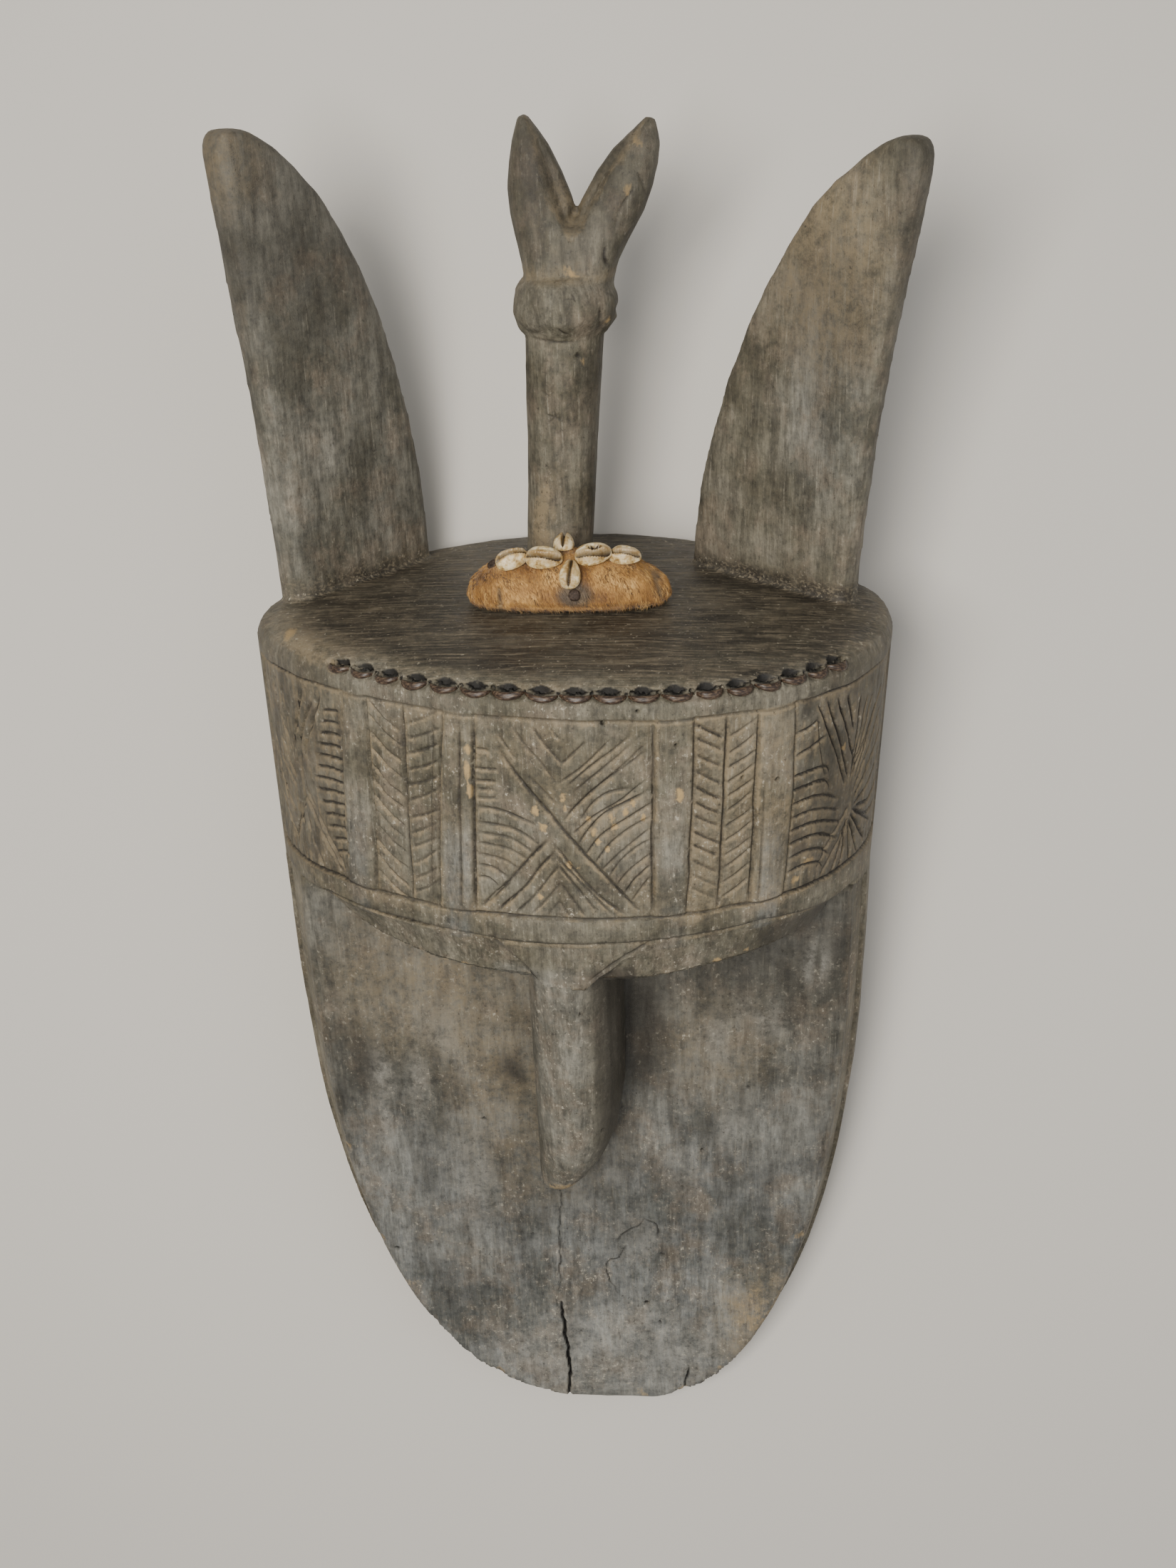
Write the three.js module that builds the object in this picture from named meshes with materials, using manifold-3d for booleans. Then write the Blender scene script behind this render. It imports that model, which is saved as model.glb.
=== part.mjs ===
// A carved wooden mask with a drum-shaped crown, a blank shield face and a bar nose.
// Two broad horns and a post with a forked end rise from the crown's top. A padded hide
// bundle with cowrie shells sits in front of the post, and a hide thong is laced along the
// crown's front edge. The wood is one hollowed log, open at the back.
//
// Lengths are in millimetres. The mask is shaped upright: x across it, y up the crown's
// axis, z out of the face, with y = 0 at the crown's top edge and z = 0 where the log is
// widest. It is then laid on its back rim, so that Z points up out of the face and Y runs
// from chin to horns.
import * as THREE from 'three';
import { mergeVertices } from 'three/addons/utils/BufferGeometryUtils.js';
import Module from 'manifold-3d';

// The log: an oval section that the skews make fuller at its right front
const HALF_WIDTH = 185;
const CHEEK_HALF_WIDTH = 180.5;
const FRONT_DEPTH = 132;
const BACK_DEPTH = 131;
const WALL = 20;
const RIM_SKEW = 0.13;
const RAIL_SKEW = 0.06;
const RIM_CUT = 1.5;

// The crown: heights below its top edge
const DOME = 5;
const BACK_LIP = 9;
const TOP_PLATE = 22;
const HOLLOW_CORNER = 9;
const LEDGE_TOP = -134;
const RAIL_BOTTOM = -152;

// The face board
const CHIN = -566;
const FACE_TOP = -160;
const FACE_FRONT = 52;
const BOARD = 24;
const CHEEK_SHIFT = -2.5;
const CHIN_SHIFT = 13;
const OUTLINE_POWER = 2.6;
const CHIN_SOLID = 44;
const LAST_RING = 0.93;

// The brow lip under the crown's rail: its lower edge as [x, y], and the boss in its middle
const LIP_TOP = -149;
const LIP_SLOPE = 0.045;
const LIP_EDGE = [
  [-159, -151], [-137, -160], [-107, -168.5], [-72, -174], [-30, -177], [0, -178.5],
  [40, -178.5], [75, -176], [100, -173.5], [121, -172], [141, -169.5], [161, -153],
];
const BOSS_BOTTOM = -182;
const BOSS_TOP_EDGE = [-38, 54];
const BOSS_BOTTOM_EDGE = [-12, 13];

// The nose
const NOSE_LEFT = -27;
const NOSE_HALF_WIDTH = 28;
const NOSE_BOTTOM = -357;
const NOSE_FRONT_TOP = 118;
const NOSE_FRONT_BOTTOM = 101;
const NOSE_TAPER_FROM = -272;
const NOSE_TIP_DROP = 16;

// The horns
const HORN_ROOT = -14;
const HORN_TIP_RADIUS = 10;
const HORN_TIP_FROM = 0.94;
const HORN_THINNING = 0.12;
const HORN_SQUARENESS = 5;

// The post and its fork
const POST_X = -8.5;
const POST_LEAN = 0.06;
const POST_Z = -39;
const POST_ROOT = -12;
const POST_RADIUS = 19.5;
const POST_TOP_RADIUS = 22.5;
const COLLAR_BOTTOM = 149;
const COLLAR_TOP = 179;
const FORK_THICKNESS = 20;

// The thong along the rim
const CLEARANCE = 0.4;
const THONG_RADIUS = 2.1;
const STITCHES = 18;
const STITCH_HEIGHT = -4.5;
const STITCH_SAG = 2;
const STITCH_SINK = 4.5;
const STITCH_RISE = 5.7;
const FIRST_HOLE = THREE.MathUtils.degToRad(-43.8);
const LAST_HOLE = THREE.MathUtils.degToRad(57.5);

// The cowrie shells
const COWRIE_LENGTH = 21;
const COWRIE_WIDTH = 14;
const COWRIE_HEIGHT = 7;
const COWRIE_LIFT = 3.4;

// Farther out than any point of the mask
const BEYOND = 300;

const wasm = await Module();
wasm.setup();

// The back rim's plane runs from the crown's back edge to the chin's back.
const CROWN_BACK = new THREE.Vector3(0, -5, -BACK_DEPTH);
const CHIN_BACK = new THREE.Vector3(0, CHIN + 4, FACE_FRONT - BOARD - 4);
const TILT = Math.atan2(CHIN_BACK.z - CROWN_BACK.z, CROWN_BACK.y - CHIN_BACK.y);
const laid = new THREE.Matrix4().makeRotationX(TILT);
const rimHeight = CROWN_BACK.clone().applyMatrix4(laid).z + RIM_CUT;
laid.premultiply(new THREE.Matrix4().makeTranslation(0, 0, -rimHeight));

// Turns a closed geometry, shaped upright, into a solid of the laid mask.
function solid(geometry) {
  const bare = geometry.clone().applyMatrix4(laid);
  bare.deleteAttribute('normal');
  bare.deleteAttribute('uv');
  const merged = mergeVertices(bare, 1e-3);
  const corners = [];
  for (let i = 0; i < merged.index.count; i += 3) {
    const [a, b, c] = [0, 1, 2].map((k) => merged.index.getX(i + k));
    if (a !== b && b !== c && c !== a) corners.push(a, b, c);
  }
  const vertProperties = new Float32Array(merged.attributes.position.array);
  const triVerts = new Uint32Array(corners);
  return new wasm.Manifold(new wasm.Mesh({ numProp: 3, vertProperties, triVerts }));
}

// A cut can leave crumbs under a cubic millimetre: only the piece itself is kept.
function largest(manifold) {
  const [whole] = manifold.decompose().sort((a, b) => b.volume() - a.volume());
  return whole;
}

function geometryOf(manifold) {
  const mesh = manifold.getMesh();
  const geometry = new THREE.BufferGeometry();
  geometry.setAttribute('position', new THREE.BufferAttribute(new Float32Array(mesh.vertProperties), 3));
  geometry.setIndex(new THREE.BufferAttribute(new Uint32Array(mesh.triVerts), 1));
  geometry.computeVertexNormals();
  return geometry;
}

// Moves every point of a geometry. Rounding first keeps the two sides of a seam alike.
function warp(geometry, move) {
  const position = geometry.attributes.position;
  const point = new THREE.Vector3();
  for (let i = 0; i < position.count; i++) {
    point.fromBufferAttribute(position, i).multiplyScalar(1e5).round().divideScalar(1e5);
    move(point);
    position.setXYZ(i, point.x, point.y, point.z);
  }
  return geometry;
}

function box(xLow, xHigh, yLow, yHigh, zLow, zHigh) {
  const geometry = new THREE.BoxGeometry(xHigh - xLow, yHigh - yLow, zHigh - zLow);
  return geometry.translate((xLow + xHigh) / 2, (yLow + yHigh) / 2, (zLow + zHigh) / 2);
}

const clamp01 = (value) => THREE.MathUtils.clamp(value, 0, 1);

// The crown narrows slightly, then the face's outline closes at the chin as a superellipse.
function outlineHalf(y, inset, chin) {
  const crown = THREE.MathUtils.lerp(HALF_WIDTH, CHEEK_HALF_WIDTH, clamp01(y / FACE_TOP));
  const fall = clamp01((FACE_TOP - y) / (FACE_TOP - chin));
  return (crown - inset) * (1 - fall ** OUTLINE_POWER) ** (1 / OUTLINE_POWER);
}

// The cheeks sit a little to the left of the crown, and the chin hooks to the right.
function sideShift(y) {
  const fall = clamp01((FACE_TOP - y) / (FACE_TOP - CHIN));
  return CHEEK_SHIFT * clamp01(y / FACE_TOP) + CHIN_SHIFT * fall ** 6;
}

function skewAt(y) {
  return THREE.MathUtils.lerp(RIM_SKEW, RAIL_SKEW, clamp01(y / RAIL_BOTTOM));
}

// Spreads a lathe turned at unit radius to the log's oval, fuller on its right front.
function logWarp(inset, chin) {
  return (p) => {
    const front = p.z > 0;
    const half = outlineHalf(p.y, inset, chin);
    const depth = (front ? FRONT_DEPTH : BACK_DEPTH) - inset;
    const skew = front ? skewAt(p.y) * p.x * half * p.z : 0;
    const lip = p.y > STITCH_HEIGHT ? BACK_LIP * Math.max(0, -p.z) ** 4 : 0;
    p.x = p.x * half + sideShift(p.y);
    p.z = p.z * depth + skew;
    p.y += lip;
  };
}

function lathe(profile, segments) {
  return new THREE.LatheGeometry(profile.map(([r, y]) => new THREE.Vector2(r, y)), segments);
}

// Heights of the rings below the crown, closer together where the chin rounds.
function faceRings(chin, count) {
  const rings = [];
  for (let i = 1; i <= count; i++) {
    const turn = (i / count) * LAST_RING * Math.PI / 2;
    rings.push([1, FACE_TOP + (chin - FACE_TOP) * Math.sin(turn)]);
  }
  return rings;
}

function outerLog() {
  const crown = [[0, DOME], [0.5, 3.7], [0.8, 1.6], [0.93, -0.6], [0.985, -4], [1, -10]];
  const side = [[1, RAIL_BOTTOM / 2], [1, RAIL_BOTTOM]];
  const face = faceRings(CHIN, 12);
  const lowest = face[face.length - 1][1];
  const profile = [...crown, ...side, ...face, [0, lowest]].reverse();
  return solid(warp(lathe(profile, 60), logWarp(0, CHIN)));
}

// The hollow fills the crown and, behind the face board, runs down to the solid chin.
function hollow() {
  const chin = CHIN + CHIN_SOLID;
  const face = faceRings(chin, 6);
  const lowest = face[face.length - 1][1];
  const top = [[0, -TOP_PLATE], [0.93, -TOP_PLATE], [1, -TOP_PLATE - HOLLOW_CORNER]];
  const profile = [...top, [1, RAIL_BOTTOM], ...face, [0, lowest]].reverse();
  const inside = solid(warp(lathe(profile, 40), logWarp(WALL, chin)));
  const board = solid(box(-BEYOND, BEYOND, 2 * CHIN, LEDGE_TOP, FACE_FRONT - BOARD, BEYOND));
  return inside.subtract(board);
}

// A solid between two edge curves. Each ring is a rounded section from one edge to the
// other, and squareness 2 gives an ellipse and larger values a plank.
function between(edgeA, edgeB, thickness, squareness, rings, segments) {
  const geometry = new THREE.CylinderGeometry(1, 1, 1, segments, rings);
  const bulge = (value) => Math.sign(value) * Math.abs(value) ** (2 / squareness);
  return warp(geometry, (p) => {
    const t = p.y + 0.5;
    const a = edgeA(t);
    const b = edgeB(t);
    const x = bulge(p.x);
    const z = (bulge(p.z) * thickness(t)) / 2;
    p.set((a.x + b.x + x * (b.x - a.x)) / 2, (a.y + b.y + x * (b.y - a.y)) / 2, z);
  });
}

// A horn is a plank whose inner edge curves over to meet a nearly straight outer edge. Its
// foot is the outer corner on the crown, and it is turned to follow the crown's edge.
const LEFT_HORN = {
  width: 107,
  height: 262,
  rise: 2,
  round: 1.8,
  lean: 20,
  thickness: 25,
  foot: new THREE.Vector3(-160, 0, -3),
  turn: THREE.MathUtils.degToRad(51),
};
const RIGHT_HORN = {
  width: 117,
  height: 250,
  rise: 1.6,
  round: 1.7,
  lean: 40,
  thickness: 22,
  foot: new THREE.Vector3(154, 0, 10),
  turn: THREE.MathUtils.degToRad(41),
};

function horn({ width, height, rise, round, lean, thickness, foot, turn }) {
  const top = 0.995 * height;
  const heightAt = (t) => THREE.MathUtils.lerp(HORN_ROOT, top, Math.sin((t * Math.PI) / 2));
  const outer = (t) => {
    const level = clamp01(heightAt(t) / height);
    const turnIn = HORN_TIP_RADIUS * clamp01((level - HORN_TIP_FROM) / (1 - HORN_TIP_FROM)) ** 2.5;
    return new THREE.Vector2(turnIn - lean * level ** 1.4, heightAt(t));
  };
  const inner = (t) => {
    const level = clamp01(heightAt(t) / height);
    const reach = (width + lean - HORN_TIP_RADIUS) * (1 - level ** rise) ** (1 / round);
    return new THREE.Vector2(HORN_TIP_RADIUS - lean + reach, heightAt(t));
  };
  const depth = (t) => thickness * (1 - HORN_THINNING * t);
  const plank = between(outer, inner, depth, HORN_SQUARENESS, 12, 16);
  const side = Math.sign(foot.x);
  plank.translate(0, 0, -thickness / 2);
  if (side > 0) {
    plank.scale(-1, 1, 1);
    plank.index.array.reverse();
  }
  plank.rotateY(-side * turn);
  return solid(plank.translate(foot.x, foot.y, foot.z));
}

function postAxis(y) {
  return POST_X + POST_LEAN * (y - 30);
}

function post() {
  const top = COLLAR_BOTTOM + 4;
  const foot = [[0, POST_ROOT], [POST_RADIUS, POST_ROOT], [POST_RADIUS, 60]];
  const shaft = lathe([...foot, [POST_TOP_RADIUS, top], [0, top]], 20);
  const bulge = [[24, COLLAR_BOTTOM], [28.5, 156], [29.5, 165], [27.5, 174], [23, COLLAR_TOP]];
  const collar = lathe([[0, COLLAR_BOTTOM], ...bulge, [0, COLLAR_TOP]], 20);
  const lean = (p) => {
    p.x += postAxis(p.y);
    p.z += POST_Z;
  };
  return solid(warp(shaft, lean)).add(solid(warp(collar, lean)));
}

function curve(...points) {
  return new THREE.CatmullRomCurve3(points.map(([x, y]) => new THREE.Vector3(x, y, 0)));
}

// The fork's two lobes share a neck above the collar, which is bevelled down into the notch
// between them, and end in blunt points.
function fork() {
  const leftOuter = curve([-22, 172], [-24, 188], [-30, 219], [-27, 246], [-22.5, 261]);
  const leftInner = curve([10, 172], [9, 188], [8, 212], [-4, 243], [-18, 262]);
  const rightInner = curve([-4, 172], [0, 188], [7, 212], [26, 241], [46, 259]);
  const rightOuter = curve([26, 172], [31, 188], [48, 219], [54, 244], [51, 258]);
  const thickness = (t) => 2 * FORK_THICKNESS * (1 - 0.72 * t * t);
  const lobe = (edgeA, edgeB) => {
    const shape = between((t) => edgeA.getPoint(t), (t) => edgeB.getPoint(t), thickness, 2.2, 9, 14);
    return solid(shape.translate(0, 0, POST_Z));
  };
  const neckLeft = curve([-20, 172], [-16, 190], [-6, 204], [0, 214]);
  const neckRight = curve([27, 172], [29, 190], [18, 204], [12, 214]);
  const neckThickness = (t) => 2 * FORK_THICKNESS * Math.min(0.98, 0.15 + 2.2 * (1 - t));
  const neckSides = [(t) => neckLeft.getPoint(t), (t) => neckRight.getPoint(t)];
  const neck = between(...neckSides, neckThickness, 2.4, 8, 14);
  const lobes = lobe(leftOuter, leftInner).add(lobe(rightInner, rightOuter));
  return lobes.add(solid(neck.translate(0, 0, POST_Z)));
}

// A block under the rail. Its front goes on from the log's surface and slopes back with it, as
// edge gives the place across and the height at each share of its length.
function underRail(edge, slope, pieces) {
  return solid(warp(new THREE.BoxGeometry(1, 1, 1, pieces, 1, 1), (p) => {
    const atTop = p.y > 0;
    const { x, y } = edge(p.x + 0.5, atTop);
    const side = x - sideShift(y);
    const reach = atTop ? 1 : 1 - slope;
    const out = Math.sqrt(Math.max(0, reach ** 2 - (side / outlineHalf(y, 0, CHIN)) ** 2));
    const front = Math.max(out * (FRONT_DEPTH + skewAt(y) * side), FACE_FRONT - 4);
    p.set(x, y, p.z > 0 ? front : FACE_FRONT - 6);
  }));
}

// The brow lip is a crescent that goes on below the rail, slopes back and dies out near the
// cheeks. A boss in its middle, which the nose grows from, stays level with the rail.
function browLip() {
  const { lerp } = THREE.MathUtils;
  const lowEdge = curve(...LIP_EDGE);
  const crescent = (t, atTop) => {
    const { x, y } = lowEdge.getPoint(t);
    return { x, y: atTop ? LIP_TOP : y };
  };
  const boss = (t, atTop) => {
    const [left, right] = atTop ? BOSS_TOP_EDGE : BOSS_BOTTOM_EDGE;
    return { x: lerp(left, right, t), y: atTop ? LIP_TOP : BOSS_BOTTOM };
  };
  return underRail(crescent, LIP_SLOPE, 36).add(underRail(boss, 0, 6));
}

// The nose is a rounded bar that stands on the face board and thins towards its tip.
function nose() {
  const top = RAIL_BOTTOM - 8;
  const bar = new THREE.CylinderGeometry(1, 1, 1, 16, 9);
  return solid(warp(bar, (p) => {
    const down = 1 - (p.y + 0.5);
    const level = Math.sin((down * Math.PI) / 2);
    const y = THREE.MathUtils.lerp(top, NOSE_BOTTOM, level);
    const tip = clamp01((y - NOSE_TAPER_FROM) / (NOSE_BOTTOM - NOSE_TAPER_FROM));
    const half = NOSE_HALF_WIDTH * (1 - 0.55 * tip ** 2.6);
    const bridge = THREE.MathUtils.lerp(NOSE_FRONT_TOP, NOSE_FRONT_BOTTOM, level);
    const front = bridge - NOSE_TIP_DROP * tip ** 4;
    const height = front - FACE_FRONT + 4;
    const across = Math.sign(p.x) * Math.abs(p.x) ** 0.85;
    p.x = NOSE_LEFT + half + across * half;
    p.z = FACE_FRONT - 4 + Math.max(0, p.z) ** 0.6 * height;
    p.y = y;
  }));
}

// A point on the crown's rounded front edge, at an angle from straight ahead.
function rimPoint(angle, height, out) {
  const p = new THREE.Vector3(0.99 * Math.sin(angle), height, 0.99 * Math.cos(angle));
  logWarp(-out, CHIN)(p);
  return p;
}

// The thong runs round the rim in short convex stitches and dips into the wood between them.
function thong(radius) {
  const perStitch = 6;
  const steps = STITCHES * perStitch;
  const points = [];
  for (let i = 0; i <= steps; i++) {
    const swell = Math.abs(Math.sin((Math.PI * i) / perStitch)) ** 0.6;
    const angle = THREE.MathUtils.lerp(FIRST_HOLE, LAST_HOLE, i / steps);
    points.push(rimPoint(angle, STITCH_HEIGHT - STITCH_SAG * swell, STITCH_RISE * swell - STITCH_SINK));
  }
  const section = new THREE.Shape();
  section.absarc(0, 0, radius, 0, 2 * Math.PI, false);
  return new THREE.ExtrudeGeometry(section, {
    steps,
    curveSegments: 3,
    bevelEnabled: false,
    extrudePath: new THREE.CatmullRomCurve3(points),
  });
}

// The hide pad: a loaf with a flat underside, just in front of the post.
const PAD = { x: -0.2, y: 6.2, z: 8.5, length: 58, height: 28, depth: 25 };
const PAD_FOOT = 0.12;

// How far the pad's outline reaches the way that (across, along) points, where 1 is its half size.
function padReach(across, along) {
  const round = Math.hypot(across, along);
  return round > 0 ? 1 / (Math.abs(across / round) ** 3 + Math.abs(along / round) ** 2.4) ** 0.37 : 1;
}

function padRise(share) {
  return PAD_FOOT + (1 - PAD_FOOT) * Math.max(0, 1 - share * share) ** 0.45;
}

function padTop(x, z) {
  const across = (x - PAD.x) / PAD.length;
  const along = (z - PAD.z) / PAD.depth;
  return PAD.y + PAD.height * padRise(Math.hypot(across, along) / padReach(across, along));
}

function hidePad() {
  return warp(new THREE.SphereGeometry(1, 24, 12), (p) => {
    const shrink = 1 - 0.04 * Math.max(0, -p.y);
    const y = p.y < 0 ? Math.max(p.y * 3, -PAD_FOOT) + PAD_FOOT : padRise(Math.hypot(p.x, p.z));
    const size = padReach(p.x, p.z) * shrink;
    p.set(PAD.x + p.x * size * PAD.length, PAD.y + y * PAD.height, PAD.z + p.z * size * PAD.depth);
  });
}

// A cowrie is a half egg that lies on its cut-off back, with its slit side up, on the pad.
const COWRIES = [
  { name: 'cowrie_far_left', x: -30.5, z: 18, heading: 24, pitch: 28, size: 0.92 },
  { name: 'cowrie_left', x: -12, z: 20.5, heading: -3, pitch: 32, size: 1 },
  { name: 'cowrie_upper', x: -2.5, z: 3, heading: 92, pitch: 4, size: 0.85 },
  { name: 'cowrie_lower', x: 3, z: 28.5, heading: 88, pitch: 42, size: 0.85 },
  { name: 'cowrie_broken', x: 15.5, z: 18, heading: 14, pitch: 28, size: 1 },
  { name: 'cowrie_far_right', x: 33, z: 14, heading: -6, pitch: 22, size: 0.88 },
];

function cowrie({ x, z, heading, pitch, size }) {
  const egg = warp(new THREE.SphereGeometry(1, 10, 8), (p) => {
    const taper = 1 - 0.18 * p.x;
    const height = COWRIE_HEIGHT * (p.y < 0 ? 0.3 : taper);
    p.set((p.x * COWRIE_LENGTH) / 2, p.y * height, (p.z * taper * COWRIE_WIDTH) / 2);
  });
  egg.scale(size, size, size);
  egg.rotateY(THREE.MathUtils.degToRad(heading));
  egg.rotateX(THREE.MathUtils.degToRad(pitch));
  const lean = THREE.MathUtils.degToRad(pitch);
  const lift = COWRIE_LIFT * size;
  return egg.translate(x, padTop(x, z) + lift * Math.cos(lean), z + lift * Math.sin(lean));
}

// Round iron nail heads that hold the hide: a dome on the pad's front and one at its left.
function nailHead(x, y, z, facing) {
  const head = lathe([[0, 0], [3.4, 0], [3, 1.2], [1.6, 1.9], [0, 2.1]], 10);
  const up = new THREE.Vector3(0, 1, 0);
  const turn = new THREE.Quaternion().setFromUnitVectors(up, facing.normalize());
  return head.applyQuaternion(turn).translate(x, y, z);
}

const finishes = {
  wood: { color: 0x6f6a5c, roughness: 0.85, metalness: 0 },
  hide: { color: 0xa27440, roughness: 0.95, metalness: 0 },
  shell: { color: 0xd8ccb4, roughness: 0.35, metalness: 0 },
  thong: { color: 0x4a2c1c, roughness: 0.4, metalness: 0 },
  iron: { color: 0x3a3029, roughness: 0.7, metalness: 0.8 },
};

const group = new THREE.Group();

function addPiece(name, manifold, finish) {
  const mesh = new THREE.Mesh(geometryOf(manifold), new THREE.MeshStandardMaterial(finishes[finish]));
  mesh.name = name;
  group.add(mesh);
}

function carvedBody() {
  const front = solid(box(-BEYOND, BEYOND, 2 * CHIN, RAIL_BOTTOM, FACE_FRONT, BEYOND));
  let body = outerLog().subtract(front).subtract(hollow());
  body = body.add(browLip()).add(nose()).add(post()).add(fork());
  body = body.add(horn(LEFT_HORN)).add(horn(RIGHT_HORN));
  const floor = box(-BEYOND, BEYOND, 3 * CHIN, 3 * BEYOND, -BEYOND, 0);
  body = body.subtract(solid(floor.applyMatrix4(laid.clone().invert())));
  return largest(body.subtract(solid(thong(THONG_RADIUS + 2 * CLEARANCE))));
}

addPiece('mask_body', carvedBody(), 'wood');
addPiece('rim_thong', solid(thong(THONG_RADIUS)), 'thong');
addPiece('hide_pad', solid(hidePad()), 'hide');
for (const shell of COWRIES) addPiece(shell.name, solid(cowrie(shell)), 'shell');
addPiece('nail_front', solid(nailHead(5.2, 16.5, 33.8, new THREE.Vector3(0, 0.3, 1))), 'iron');
addPiece('nail_left', solid(nailHead(-42.5, 28, 12.5, new THREE.Vector3(-0.5, 0.8, 0.5))), 'iron');

// The frame's origin is under the middle of the mask's box.
const bounds = new THREE.Box3().setFromObject(group);
const middle = bounds.getCenter(new THREE.Vector3());
for (const mesh of group.children) mesh.geometry.translate(-middle.x, -middle.y, 0);

export default group;
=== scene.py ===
"""A carved wooden mask with two horns, lying on its back rim.

The carving is described upright, in millimetres: x across the mask, y up the crown's axis with
0 at the crown's front edge, and z out of the face. laid() turns that into the frame's metres.
On the crown's side wall a place is (a, y), where a is the way round the log from its front.
"""
import math
from types import SimpleNamespace

import bpy
import numpy as np
from mathutils import Matrix, Vector


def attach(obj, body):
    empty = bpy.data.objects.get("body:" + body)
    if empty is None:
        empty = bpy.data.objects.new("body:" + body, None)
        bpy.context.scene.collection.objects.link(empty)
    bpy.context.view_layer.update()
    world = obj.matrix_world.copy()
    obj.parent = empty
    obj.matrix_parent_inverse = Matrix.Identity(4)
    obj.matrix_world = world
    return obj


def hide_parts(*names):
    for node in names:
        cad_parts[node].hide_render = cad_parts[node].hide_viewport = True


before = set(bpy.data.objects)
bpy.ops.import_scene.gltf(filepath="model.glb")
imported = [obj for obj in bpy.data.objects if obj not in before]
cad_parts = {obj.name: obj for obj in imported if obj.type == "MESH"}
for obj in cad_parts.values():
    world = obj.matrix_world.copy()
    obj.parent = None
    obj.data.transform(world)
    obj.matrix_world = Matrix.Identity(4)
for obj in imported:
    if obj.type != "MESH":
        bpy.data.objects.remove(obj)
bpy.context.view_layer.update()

MM = 0.001

# The upright mask leans back this far, in radians, when it lies on its back rim, and the
# middle of its crown's front edge then comes to this place, in millimetres.
LEAN = 0.27140977
CROWN_PLACE = np.array([-2.9635, 146.4428, 126.0451])

# The log, as it was shaped
HALF_WIDTH = 185.0
CHEEK_HALF_WIDTH = 180.5
FRONT_DEPTH = 132.0
BACK_DEPTH = 131.0
FACE_TOP = -160.0
CHIN = -566.0
CHEEK_SHIFT = -2.5
CHIN_SHIFT = 13.0
OUTLINE_POWER = 2.6
RIM_SKEW = 0.13
RAIL_SKEW = 0.06
RAIL_BOTTOM = -152.0
FACE_FRONT = 52.0


def leaned(points, angle):
    """Points or directions turned about the x axis."""
    x, y, z = np.moveaxis(np.asarray(points, float), -1, 0)
    c, s = math.cos(angle), math.sin(angle)
    return np.stack([x, c * y - s * z, s * y + c * z], -1)


def laid(points):
    """Points of the upright mask, in mm, as points of the laid mask, in metres."""
    return (leaned(points, LEAN) + CROWN_PLACE) * MM


def upright(points):
    """Points of the laid mask, in metres, as points of the upright mask, in mm."""
    return leaned(np.asarray(points, float) / MM - CROWN_PLACE, -LEAN)


def ramp(values, start, end):
    """0 before start and 1 after end, smoothly in between."""
    t = np.clip((np.asarray(values, float) - start) / (end - start), 0, 1)
    return t * t * (3 - 2 * t)


def blob(points, centre, radii):
    """1 at the centre and 0 beyond the radii, smoothly."""
    away = np.sqrt((((points - np.asarray(centre, float)) / np.asarray(radii, float)) ** 2).sum(1))
    return 1 - ramp(away, 0.3, 1)


def noise(points, size, seed):
    """Smooth seeded hills from -1 to 1, about size mm across (one number, or one an axis)."""
    place = points / np.asarray(size, float)
    cell = np.floor(place).astype(np.int64)
    part = place - cell
    part = part * part * (3 - 2 * part)
    total = np.zeros(len(points))
    primes = (73856093, 19349663, 83492791)
    for corner in range(2 ** points.shape[1]):
        weight = np.ones(len(points))
        mixed = np.full(len(points), seed * 2654435, np.int64)
        for axis in range(points.shape[1]):
            step = (corner >> axis) & 1
            weight *= part[:, axis] if step else 1 - part[:, axis]
            mixed ^= (cell[:, axis] + step) * primes[axis]
        mixed = ((mixed ^ (mixed >> 13)) * 1274126177) & 0x7FFFFFFF
        mixed = ((mixed ^ (mixed >> 16)) * 668265263) & 0x7FFFFFFF
        total += weight * (mixed / 0x3FFFFFFF - 1)
    return total


# The camera stands in front of the upright mask, a little above and to the right of it, and
# looks down on it as it lies.
CAMERA_PLACE = (83.825, 299.915, 887.205)
CAMERA_PITCH = math.radians(25)
CAMERA_YAW = math.radians(5)
CAMERA_ROLL = math.radians(-2)
CAMERA_LENS = 36.93


def make_camera():
    """The photo's camera, in the laid mask's frame."""
    ahead = Vector((
        -math.sin(CAMERA_YAW) * math.cos(CAMERA_PITCH),
        -math.sin(CAMERA_PITCH),
        -math.cos(CAMERA_YAW) * math.cos(CAMERA_PITCH),
    ))
    level = ahead.cross(Vector((0, 1, 0))).normalized()
    rise = level.cross(ahead)
    right = level * math.cos(CAMERA_ROLL) + rise * math.sin(CAMERA_ROLL)
    up = rise * math.cos(CAMERA_ROLL) - level * math.sin(CAMERA_ROLL)
    data = bpy.data.cameras.new("camera")
    data.lens = CAMERA_LENS
    data.sensor_width = 36
    data.clip_start = 0.01
    camera = bpy.data.objects.new("camera", data)
    bpy.context.scene.collection.objects.link(camera)
    axes = [Vector(leaned(v, LEAN)) for v in (right, up, -ahead)]
    turn = Matrix(axes).transposed()
    camera.matrix_world = Matrix.Translation(Vector(laid(CAMERA_PLACE))) @ turn.to_4x4()
    bpy.context.scene.camera = camera


def linear(code):
    """An sRGB hex colour as linear red, green, blue and alpha."""
    parts = [int(code[i:i + 2], 16) / 255 for i in (1, 3, 5)]
    return (*[c / 12.92 if c <= 0.04045 else ((c + 0.055) / 1.055) ** 2.4 for c in parts], 1)


LIGHT_AIM = Vector((0, 0, 0.1))


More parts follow.
